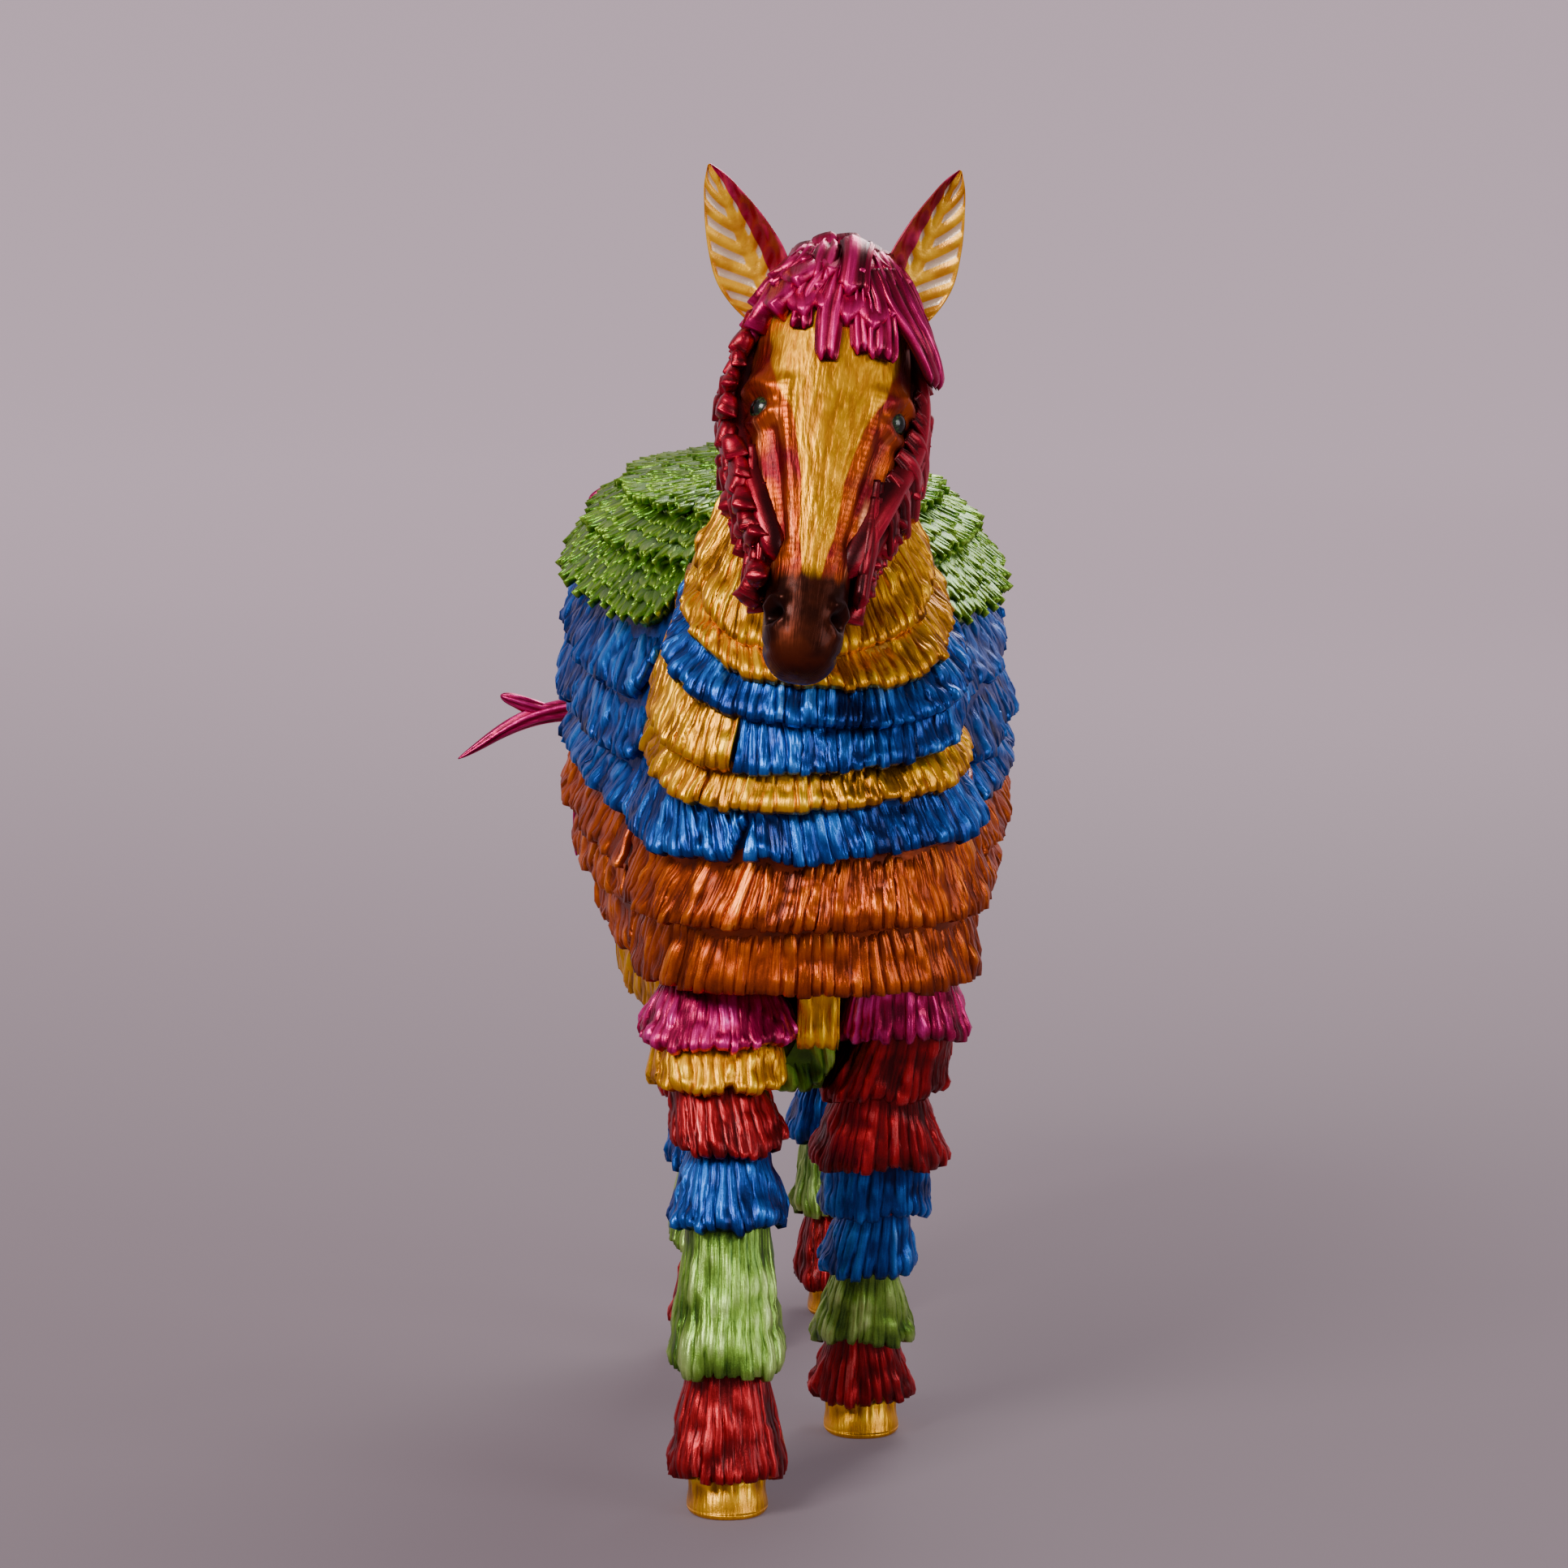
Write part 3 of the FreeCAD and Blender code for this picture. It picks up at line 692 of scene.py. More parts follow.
@dataclass(frozen=True)
class HeadPaint(Finish):
    """A gold blaze over orange red, streaked along the hair, and a glossy chestnut muzzle, with painted
    shade in its hollows and nostrils.
    """

    name: str = "head_paint_finish"
    slot: Slot = Slot.HEAD_PAINT
    gold: Colour = (1.0, 0.45, 0.001)
    gold_shade: Colour = (0.66, 0.24, 0.001)
    rust: Colour = (0.55, 0.085, 0.004)
    wine: Colour = (0.20, 0.004, 0.012)
    salmon: Colour = (0.95, 0.34, 0.15)
    chestnut: Colour = (0.030, 0.004, 0.001)
    chestnut_light: Colour = (0.115, 0.017, 0.004)

    def nodes(self, b: ShaderBuilder) -> None:
        """Wires the blaze, the cheeks, the streaks, the muzzle and the painted shade in the hollows and
        nostrils.
        """
        place = b.own_place()
        lay = b.vector("MULTIPLY", b.attribute("lay", "Vector"), (1.0, 0.17, 1.0))
        hair = b.noise(b.vector("ADD", lay, b.scaled(place, 0.05)), 2600.0, 3.0)
        broad = b.noise(lay, 760.0, 2.0)
        blotch = b.noise(place, 260.0, 3.0)
        ridge = b.attribute("ridge")
        hollow = b.remap(ridge, 0.15, 0.5, 1.0, 0.0)
        gold = b.mix(b.remap(hair, 0.35, 0.65), self.gold_shade, self.gold)
        sides = b.mix(b.remap(blotch, 0.35, 0.65), self.rust, self.wine)
        sides = b.mix(b.times(b.attribute("flank"), 0.85), sides, self.wine)
        ragged = b.swung(broad, 0.9, b.attribute("blaze"))
        colour = b.mix(b.remap(ragged, 0.36, 0.66), sides, gold)
        light = b.times(b.remap(broad, 0.5, 0.72), b.attribute("streak"))
        colour = b.mix(light, colour, self.salmon)
        # Painted shade: the head's hollows darken towards wine.
        colour = b.mix(b.times(hollow, 0.7), colour, self.wine)
        dark = b.mix(b.remap(blotch, 0.4, 0.75), self.chestnut, self.chestnut_light)
        muzzle = b.swung(broad, 0.5, b.attribute("muzzle"))
        muzzle = b.remap(muzzle, 0.3, 0.7)
        colour = b.mix(muzzle, colour, dark)
        # Painted shade: the nostril holes are painted near black.
        colour = b.mix(b.attribute("hole"), colour, (0.006, 0.002, 0.002))
        rough = b.remap(blotch, 0.3, 0.7, 0.34, 0.46)
        smooth = b.plus_times(muzzle, -0.75, 1.0)
        bumps = [(b.times(hair, smooth), 0.16 * MM), (blotch, 0.2 * MM)]
        b.surface(colour, 0.88, rough, bumps, (0.05, 0.14))


@dataclass(frozen=True)
class EarPaint(Finish):
    """Cream strokes between raised yellow lines, and crimson on the rim and the back."""

    name: str = "ear_paint_finish"
    slot: Slot = Slot.EAR_PAINT
    cream: Colour = (0.74, 0.52, 0.36)
    yellow: Colour = (1.0, 0.50, 0.001)
    line_shade: Colour = (0.66, 0.25, 0.001)
    crimson: Colour = (0.30, 0.003, 0.012)
    magenta: Colour = (0.66, 0.012, 0.12)

    def nodes(self, b: ShaderBuilder) -> None:
        """Wires the strokes, their lines and the rim."""
        place = b.own_place()
        blotch = b.noise(place, 420.0, 3.0)
        ridge = b.attribute("ridge")
        lines = b.mix(b.remap(blotch, 0.35, 0.6), self.line_shade, self.yellow)
        inside = b.mix(b.remap(ridge, 0.2, 0.4), self.cream, lines)
        back = b.mix(b.remap(blotch, 0.42, 0.68), self.crimson, self.magenta)
        rim = b.swung(blotch, 0.5, b.attribute("rim"))
        colour = b.mix(b.remap(rim, 0.4, 0.6), inside, back)
        bumps = [(blotch, 0.12 * MM), (b.noise(place, 6000.0, 1.0), 0.02 * MM)]
        b.surface(colour, 0.4, b.remap(blotch, 0.3, 0.7, 0.3, 0.45), bumps, (0.15, 0.2))


@dataclass(frozen=True)
class EyeGloss(Finish):
    """A dark glossy eye with an olive green ring round its pupil."""

    name: str = "eye_gloss_finish"
    slot: Slot = Slot.EYE_GLOSS
    pupil: Colour = (0.003, 0.004, 0.003)
    iris: Colour = (0.03, 0.07, 0.012)
    rim: Colour = (0.02, 0.014, 0.008)

    def nodes(self, b: ShaderBuilder) -> None:
        """Wires the pupil, the flecked iris and the dark rim."""
        gaze = b.attribute("gaze")
        fleck = b.noise(b.own_place(), 5200.0, 2.0)
        iris = b.mix(b.remap(fleck, 0.4, 0.65), self.pupil, self.iris)
        inwards = b.swung(fleck, 0.1, gaze)
        inner = b.mix(b.remap(inwards, 0.80, 0.90), iris, self.pupil)
        colour = b.mix(b.remap(inwards, 0.55, 0.7), self.rim, inner)
        b.surface(colour, 0.0, 0.22, [(fleck, 0.01 * MM)], (0.35, 0.05))


@dataclass(frozen=True)
class Undercoat(Finish):
    """Thin paint on the cast cores, which takes the colour of the row that hangs at its height,
    darkened in blotches with painted shade so that gaps between rows read as shadow.
    """

    name: str
    slot: Slot
    bands: tuple[tuple[float, Colour], ...]  # where each colour starts, in millimetres up
    top: float = 110.0
    # a painted shade colour, so that cores seen between the rows read as shadow
    gap_shade: Colour = (0.02, 0.006, 0.004)

    def nodes(self, b: ShaderBuilder) -> None:
        """Wires the bands, the brush marks and the blotches of painted shade."""
        place = b.own_place()
        wash = b.noise(place, 420.0, 3.0)
        grain = b.noise(place, 3200.0, 2.0)
        height = b.add("ShaderNodeSeparateXYZ", {"Vector": place}).outputs["Z"]
        wavy = b.swung(wash, 2 * MM, height)
        share = b.math("DIVIDE", wavy, self.top * MM)
        colour = b.ramp(share, [(up / self.top, tone) for up, tone in self.bands], True)
        # Blotches of painted shade, up to 0.6 of the way to the shade colour.
        shade = b.remap(wash, 0.3, 0.7, 0.0, 0.6)
        colour = b.mix(shade, colour, self.gap_shade)
        bumps = [(wash, 0.15 * MM), (grain, 0.03 * MM)]
        b.surface(colour, 0.5, b.remap(grain, 0.3, 0.7, 0.4, 0.55), bumps)


@dataclass(frozen=True)
class DrawnSteel(Finish):
    """The bare wires, with fine lines drawn along them."""

    name: str = "drawn_steel"
    slot: Slot = Slot.PIN_STEEL
    dark: Colour = (0.30, 0.30, 0.31)
    light: Colour = (0.52, 0.52, 0.53)

    def nodes(self, b: ShaderBuilder) -> None:
        """Wires the stains and the drawn lines."""
        place = b.vector("MULTIPLY", b.own_place(), (1.0, 1.0, 0.08))
        wash = b.noise(place, 220.0, 4.0)
        grain = b.noise(place, 5200.0, 2.0)
        tone = b.swung(grain, 0.4, wash)
        colour = b.mix(b.remap(tone, 0.35, 0.65), self.dark, self.light)
        bumps = [(wash, 0.1 * MM), (grain, 0.02 * MM)]
        b.surface(colour, 1.0, b.remap(grain, 0.3, 0.7, 0.28, 0.42), bumps)


BODY_UNDERCOAT = Undercoat(
    "body_undercoat",
    Slot.CAST_RESIN,
    bands=(
        (0.0, GREEN.body),
        (39.4, YELLOW.body),
        (45.8, ORANGE.body),
        (62.6, BLUE.body),
        (79.0, GREEN.body),
    ),
)
NECK_UNDERCOAT = Undercoat(
    "neck_undercoat",
    Slot.CAST_RESIN,
    bands=(
        (0.0, ORANGE.body),
        (57.6, BLUE.body),
        (62.4, YELLOW.body),
        (65.6, BLUE.body),
        (73.6, YELLOW.body),
        (92.0, WINE.ridge),
    ),
)
LEG_UNDERCOAT = Undercoat(
    "leg_undercoat",
    Slot.CAST_RESIN,
    bands=((0.0, GILT.body), (3.6, CRIMSON.body)),
)
STEEL = DrawnSteel()
HEAD_PAINT, EAR_PAINT, EYE_GLOSS = HeadPaint(), EarPaint(), EyeGloss()


# ---------------------------------------------------------------- meshes and the frame


def mesh_object(
    name: str,
    vertices: Array,
    faces: Sequence[Sequence[int]],
    attributes: dict[str, Array] | None = None,
) -> Piece:
    """Makes an object at the origin from its points and faces.

    Args:
        name: The object's name.
        vertices: One row for each point.
        faces: The point numbers of each face, or none for a cloud of points.
        attributes: Numbers or vectors for each point, by name.

    Returns:
        The object, linked to the scene and shaded smooth.
    """
    mesh = bpy.data.meshes.new(name)
    mesh.from_pydata(np.asarray(vertices).tolist(), [], [list(face) for face in faces])
    for key, values in (attributes or {}).items():
        values = np.asarray(values, np.float32)
        is_vector = values.ndim == 2
        kind = "FLOAT_VECTOR" if is_vector else "FLOAT"
        stored = mesh.attributes.new(key, kind, "POINT")
        stored.data.foreach_set("vector" if is_vector else "value", values.ravel())
    mesh.shade_smooth()
    made = bpy.data.objects.new(name, mesh)
    bpy.context.scene.collection.objects.link(made)
    return made


def hand_over(piece: Piece, finish: Finish, nodes: Sequence[str] = ()) -> None:
    """Gives a finished piece to the frame.

    Args:
        piece: The piece, in place.
        finish: What it is painted with.
        nodes: The CAD nodes that it stands for.
    """
    if not piece.data.materials:
        piece.data.materials.append(finish.material())
    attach(piece, "root")
    if nodes:
        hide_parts(*nodes)
    LOG.info("%s: %d faces", piece.name, len(piece.data.polygons))


def unit(vectors: Array) -> Array:
    """The vectors at length 1."""
    length = np.linalg.norm(vectors, axis=-1, keepdims=True)
    return vectors / np.maximum(length, 1e-12)


def eased(values: Array, low: float, high: float) -> Array:
    """The values eased from 0 at low to 1 at high."""
    t = np.clip((np.asarray(values, float) - low) / (high - low), 0.0, 1.0)
    return t * t * (3.0 - 2.0 * t)


@dataclass
class Solid:
    """One solid of a CAD node, for finding points on it."""

    points: Array
    tree: BVHTree

    @property
    def low(self) -> Array:
        """The lowest corner of its box."""
        return self.points.min(0)

    @property
    def high(self) -> Array:
        """The highest corner of its box."""
        return self.points.max(0)


def solids_of(node: str) -> list[Solid]:
    """Splits a CAD node into its separate solids.

    Args:
        node: The node's name.

    Returns:
        Its solids, the lowest first.
    """
    whole = bmesh.new()
    whole.from_mesh(frame["nodes"][node].data)
    bmesh.ops.remove_doubles(whole, verts=whole.verts, dist=2e-6)
    whole.verts.index_update()
    label = [-1] * len(whole.verts)
    count = 0
    for start in whole.verts:
        if label[start.index] >= 0:
            continue
        label[start.index], waiting = count, [start]
        while waiting:
            here = waiting.pop()
            for edge in here.link_edges:
                other = edge.other_vert(here)
                if label[other.index] < 0:
                    label[other.index] = count
                    waiting.append(other)
        count += 1
    found = []
    for number in range(count):
        own = [v for v in whole.verts if label[v.index] == number]
        place = {v.index: k for k, v in enumerate(own)}
        faces = [[place[v.index] for v in f.verts] for f in whole.faces if f.verts[0].index in place]
        tree = BVHTree.FromPolygons([v.co[:] for v in own], faces)
        found.append(Solid(np.array([v.co[:] for v in own]), tree))
    whole.free()
    return sorted(found, key=lambda solid: solid.points[:, 2].mean())


def node_points(node: str) -> Array:
    """The points of a CAD node's mesh."""
    return np.array([v.co[:] for v in frame["nodes"][node].data.vertices])


def distances(line: Array) -> Array:
    """How far along a line each of its points is."""
    return np.concatenate([[0.0], np.cumsum(np.linalg.norm(np.diff(line, axis=0), axis=1))])


def all_round(count: int, start: float = 0.0) -> Array:
    """Even angles once round, as a row."""
    return np.linspace(start, start + 2 * math.pi, count, endpoint=False)[None, :]


class CoreAxis:
    """The upright axis of a cast core, as the middle of its section at each height."""

    STEP = 2 * MM
    FEWEST = 8  # points in a section that is worth measuring

    def __init__(self, *nodes: str) -> None:
        """Measures the sections of the named nodes taken together."""
        points = np.vstack([node_points(node) for node in nodes])
        rows = []
        for z in np.arange(points[:, 2].min(), points[:, 2].max(), self.STEP):
            slab = points[np.abs(points[:, 2] - z) < self.STEP]
            if len(slab) > self.FEWEST:
                middle = (slab.min(0) + slab.max(0)) / 2
                rows.append((z, middle[0], middle[1]))
        self.heights, self.x, self.y = np.array(rows).T

    def at(self, z: float) -> Vector:
        """The point of the axis at a height."""
        x = float(np.interp(z, self.heights, self.x))
        y = float(np.interp(z, self.heights, self.y))
        return Vector((x, y, z))


@dataclass
class Band:
    """The outside of one strip: its top and bottom edges, point against point."""

    top: Array
    bottom: Array
    closed: bool

    FAR = 0.09  # from the axis to where the rays start
    STEP = 0.5 * MM
    INSET = 0.01 * MM  # of the first and last level from the strip's box
    HALVINGS = 6
    STUB = 0.3  # of the usual height; where it is lower, the strip has ended

    @classmethod
    def edge(cls, solid: Solid, axis: CoreAxis, angle: float, upper: bool) -> Array | None:
        """Finds a strip's edge in one direction from the core.

        Args:
            solid: The strip.
            axis: The core's axis.
            angle: The direction, from the front towards the left side.
            upper: Whether to find the upper edge or the lower one.

        Returns:
            The point on the edge, or None where the strip doesn't reach.
        """
        out = Vector((math.sin(angle), -math.cos(angle), 0.0))

        def hit(z: float) -> Vector | None:
            return solid.tree.ray_cast(axis.at(z) + out * cls.FAR, -out, cls.FAR)[0]

        low, high = solid.low[2] + cls.INSET, solid.high[2] - cls.INSET
        levels = np.arange(low, high, cls.STEP)
        levels = np.append(levels, high)
        if upper:
            levels = levels[::-1]
        missed = levels[0]
        for z in levels:
            point = hit(z)
            if point is not None:
                break
            missed = z
        else:
            return None
        for _ in range(cls.HALVINGS):
            middle = (missed + z) / 2
            nearer = hit(middle)
            if nearer is None:
                missed = middle
            else:
                z, point = middle, nearer
        return np.array(point)

    @classmethod
    def trace(cls, solid: Solid, axis: CoreAxis, directions: int = 180) -> "Band":
        """Traces a strip's edges round its core, from the back round by the right.

        Args:
            solid: The strip.
            axis: The core's axis.
            directions: How many directions to look in.

        Returns:
            The band, closed if the strip goes all the way round.
        """
        angles = -math.pi + 2 * math.pi * np.arange(directions) / directions
        pairs = [[cls.edge(solid, axis, a, upper) for upper in (True, False)] for a in angles]
        there = np.array([pair[0] is not None for pair in pairs])
        height = np.array([pair[0][2] - pair[1][2] if pair[0] is not None else 0.0 for pair in pairs])
        if there.any():
            there &= height > cls.STUB * np.median(height[there])
        if there.all():
            top, bottom = (np.array([pair[k] for pair in pairs]) for k in (0, 1))
            return cls(top, bottom, True)
        starts = [k for k in range(directions) if there[k] and not there[k - 1]]
        best: list[int] = []
        for start in starts:
            run = []
            while there[(start + len(run)) % directions] and len(run) < directions:
                run.append((start + len(run)) % directions)
            best = max(best, run, key=len)
        top, bottom = (np.array([pairs[k][side] for k in best]) for side in (0, 1))
        return cls(top, bottom, False)

    @staticmethod
    def respaced(points: Array, count: int) -> Array:
        """The points of a line at even distances along it."""
        place = distances(points)
        wanted = np.linspace(0.0, place[-1], count)
        return np.stack([np.interp(wanted, place, points[:, k]) for k in range(3)], axis=1)

    def smoothed(self, line: Array, passes: int = 2) -> Array:
        """A line with the small steps of the tracing taken out."""
        for _ in range(passes):
            if self.closed:
                line = (np.roll(line, 1, 0) + 2 * line + np.roll(line, -1, 0)) / 4
            else:
                inner = (line[:-2] + 2 * line[1:-1] + line[2:]) / 4
                line = np.vstack([line[:1], inner, line[-1:]])
        return line

    def columns(self, spacing: float) -> tuple[Array, Array]:
        """The two edges, respaced so that their points go in pairs.

        Args:
            spacing: The distance between columns along the lower edge.

        Returns:
            The upper and the lower edge's points.
        """
        lines = [self.smoothed(line) for line in (self.top, self.bottom)]
        steps = np.linalg.norm(np.diff(lines[1], axis=0), axis=1)
        if not self.closed:
            count = max(8, int(steps.sum() / spacing))
            return self.respaced(lines[0], count), self.respaced(lines[1], count)
        half = len(lines[0]) // 2
        count = max(16, int(steps.sum() / spacing / 2))
        done = []
        for line in lines:
            rest = np.vstack([line[half:], line[:1]])
            first = self.respaced(line[: half + 1], count + 1)[:-1]
            done.append(np.vstack([first, self.respaced(rest, count + 1)[:-1]]))
        return done[0], done[1]


@dataclass
class Lattice:
    """A band as a grid of points with its directions: columns along it and rows down it."""

    points: Array
    outward: Array
    fall: Array
    along: Array
    length: float
    closed: bool

    @classmethod
    def between(
        cls,
        top: Array,
        bottom: Array,
        closed: bool,
        rows: int,
        tuck: float = 0.0,
        inwards: float = 0.0,
    ) -> "Lattice":
        """Lays a grid between two edges whose points go in pairs.

        Args:
            top: The upper edge's points.
            bottom: The lower edge's points.
            closed: Whether the edges are rings.
            rows: How many rows of points it has.
            tuck: How far its upper edge goes on up under what lies over it.
            inwards: How much of that goes inwards.

        Returns:
            The grid.
        """
        fall = unit(bottom - top)
        middle = (top + bottom) / 2
        if closed:
            tangent = unit(np.roll(middle, -1, 0) - np.roll(middle, 1, 0))
        else:
            tangent = unit(np.gradient(middle, axis=0))
        outward = unit(np.cross(fall, tangent))
        top = top - fall * tuck - outward * (inwards * tuck)
        share = np.linspace(0.0, 1.0, rows)[None, :, None]
        points = top[:, None] * (1 - share) + bottom[:, None] * share
        along = distances(np.vstack([bottom, bottom[:1] if closed else bottom[-1:]]))
        return cls(points, outward, fall, along[: len(bottom)], float(along[-1]), closed)

    def guide(self, name: str) -> Piece:
        """The grid as a mesh, with the directions and distances as attributes.

        Args:
            name: The mesh's name.

        Returns:
            The guide, facing outwards.
        """
        wide, deep, _ = self.points.shape
        number = np.arange(wide * deep).reshape(wide, deep)
        here = number if self.closed else number[:-1]
        beside = np.roll(number, -1, 0) if self.closed else number[1:]
        corners = (here[:, :-1], here[:, 1:], beside[:, 1:], beside[:, :-1])
        faces = np.stack([corner.ravel() for corner in corners], axis=1)
        down = np.tile(np.linspace(0.0, 1.0, deep), wide)
        along = np.repeat(self.along, deep)
        drop = np.linalg.norm(self.points - self.points[:, :1], axis=2).ravel()
        attributes = {
            "along": along,
            "down": down,
            "outward": np.repeat(self.outward, deep, axis=0),
            "fall": np.repeat(self.fall, deep, axis=0),
            "lay": np.stack([along, drop, np.zeros_like(drop)], axis=1),
        }
        return mesh_object(name, self.points.reshape(-1, 3), faces.tolist(), attributes)


@dataclass(frozen=True)
class Pleats:
    """How a strip of putty is cut into strands."""

    pitch: float = 1.2 * MM  # width of a strand
    fine_pitch: float = 0.43 * MM  # width of the lines scored on it
    depth: float = 0.56 * MM  # how deep the cuts between strands are
    fine_depth: float = 0.10 * MM
    spread: float = 0.24 * MM  # how much the strands differ in length
    wave: float = 0.9 * MM  # how far the cut edge rises and falls over several strands
    lean: float = 0.14 * MM  # how far a strand's tip leans aside
    hollow: float = 0.3 * MM  # how far the strip is pressed in above its cut edge
    lift: float = 0.22 * MM  # how far a strand's tip stands off
    thickness: float = 0.8 * MM
    flatness: float = 6.0  # how flat the strands' tops are
    spacing: float = 0.13 * MM  # between the mesh's columns
    rows: int = 18
    tuck: float = 3.0 * MM  # how far a strip goes on up under the one above it
    tuck_in: float = 0.05  # how much of that goes inwards

    def grids(self, bands: Sequence[Band]) -> list[Lattice]:
        """The grid over each band, from which its strip is pleated."""
        cut = (self.rows, self.tuck, self.tuck_in)
        return [Lattice.between(*band.columns(self.spacing), band.closed, *cut) for band in bands]

    def cover(
        self, tree: PleatTree, name: str, grids: Sequence[Lattice], paint: Finish, seed: int
    ) -> Piece:
        """Pleats grids into one object.

        Args:
            tree: The tree that pleats them.
            name: The finished piece's name.
            grids: The grids.
            paint: The strips' paint.
            seed: What the chance cuts start from.

        Returns:
            One object with all the strips.
        """
        made = []
        for number, grid in enumerate(grids):
            count = max(3, round(grid.length / self.pitch))
            fine_count = max(9, round(grid.length / self.fine_pitch))
            values = tree.settings(self, tree.SHAPE) | {
                "Pitch": grid.length / count,
                "Fine Pitch": grid.length / fine_count,
                "Count": count if grid.closed else 10 * count,
                "Fine Count": fine_count if grid.closed else 10 * fine_count,
                "Seed": seed + 17 * number,
                "Material": paint.material(),
            }
            made.append(tree.grown(f"{name}_{number}", grid.guide(name), values))
        return joined(name, made)


def joined(name: str, parts: Sequence[Piece]) -> Piece:
    """Joins objects at the origin into one.

    Args:
        name: The joined object's name.
        parts: The objects, which become the one.

    Returns:
        The joined object.
    """
    first = parts[0]
    if len(parts) > 1:
        with bpy.context.temp_override(active_object=first, selected_editable_objects=list(parts)):
            bpy.ops.object.join()
    first.name = name
    first.data.name = name
    return first


@dataclass
class LeafBed:
    """Points with directions and sizes, each of which takes a leaf of putty."""

    thickness: float = 0.32
    curl: float = 0.10
    crease: float = 0.10
    turn: float = 0.22
    lift: float = 0.16
    point: float = 0.5  # how pointed they are; small values are blunt
    seed: int = 1
    points: list[Array] = field(default_factory=list)
    outward: list[Array] = field(default_factory=list)
    fall: list[Array] = field(default_factory=list)
    size: list[tuple[float, float, float]] = field(default_factory=list)

    def add(self, point: Array, outward: Array, fall: Array, length: float, width: float) -> None:
        """Adds one leaf.

        Args:
            point: Where its root is.
            outward: The direction away from what it lies on.
            fall: The direction it falls in.
            length: How long it is.
            width: How wide it is.
        """
        self.points.append(point)
        self.outward.append(outward)
        self.fall.append(fall)
        self.size.append((width, length, width))

    def grown(self, tree: LeafTree, name: str, paint: Finish) -> Piece:
        """Grows the leaves.

        Args:
            tree: The tree that lays them.
            name: The finished object's name.
            paint: The leaves' paint.

        Returns:
            One object with all the leaves.
        """
        attributes = {
            "outward": np.array(self.outward),
            "fall": np.array(self.fall),
            "size": np.array(self.size),
        }
        guide = mesh_object(name, np.array(self.points), [], attributes)
        values = tree.settings(self, (*tree.NUMBERS, *tree.COUNTS))
        values["Material"] = paint.material()
        return tree.grown(name, guide, values)


# ---------------------------------------------------------------- fringe


@dataclass
class FringeSet:
    """Fringe round one core: which nodes it is, and how each is cut and painted."""

    core: tuple[str, ...]
    paints: dict[str, Finish]
    pleats: Pleats
    seed: int

    def build(self, tree: PleatTree) -> None:
        """Pleats every strip and hands it over in its node's place."""
        axis = CoreAxis(*self.core)
        for number, (node, paint) in enumerate(self.paints.items()):
            bands = [Band.trace(solid, axis) for solid in solids_of(node)]
            seed = self.seed + NEXT_NODE * number
            grids = self.pleats.grids(bands)
            strip = self.pleats.cover(tree, f"{node}_strands", grids, paint, seed)
            hand_over(strip, paint, [node])


def body_fringe() -> FringeSet:
    """The blue, orange, yellow and green rows round the body."""
    paints: dict[str, Finish] = {}
    for colour, paint in (("blue", BLUE), ("orange", ORANGE)):
        for level in ("upper", "middle", "lower"):
            paints[f"flank_{colour}_row_{level}"] = paint
    paints |= {"belly_yellow_row": YELLOW, "belly_green_row": GREEN}
    cut = Pleats(
        pitch=1.6 * MM, wave=1.5 * MM, spacing=0.2 * MM, rows=13, tuck=1.7 * MM, tuck_in=0.3
    )
    return FringeSet(("body_shell_left", "body_shell_right"), paints, cut, BODY_SEED)


def neck_fringe() -> FringeSet:
    """The strips on the chest and the collars up the neck."""
    paints: dict[str, Finish] = {
        "chest_orange_strip_lower": ORANGE,
        "chest_orange_strip_upper": ORANGE,
        "chest_blue_strips": BLUE,
        "chest_yellow_strip": YELLOW,
        "neck_yellow_side_strips": YELLOW,
        "neck_blue_strip_lower": BLUE,
        "neck_blue_strip_upper": BLUE,
        "neck_yellow_strip_lower": YELLOW,
        "neck_yellow_strip_upper": YELLOW,
    }
    return FringeSet(("neck_core",), paints, Pleats(spacing=0.12 * MM), NECK_SEED)


LEGS = ("fore_right", "fore_left", "hind_right", "hind_left")
LEG_COLOURS = {
    "pink_cuff": MAGENTA,
    "yellow_cuff": YELLOW,
    "red_fringe": CRIMSON,
    "blue_fringe": BLUE,
    "green_fringe": PALE_GREEN,
}


def leg_fringe(leg: str, seed: int) -> FringeSet:
    """The rows on one leg.

    Args:
        leg: The leg's name.
        seed: What the chance cuts start from.

    Returns:
        The leg's fringe.
    """
    nodes = {f"{leg}_{part}": paint for part, paint in LEG_COLOURS.items()}
    paints = {node: paint for node, paint in nodes.items() if node in frame["nodes"]}
    cut = Pleats(
        pitch=1.15 * MM, spread=0.4 * MM, spacing=0.15 * MM, rows=16, tuck=1.4 * MM, tuck_in=0.2
    )
    return FringeSet((f"{leg}_leg_core",), paints, cut, seed)


# ---------------------------------------------------------------- the green back


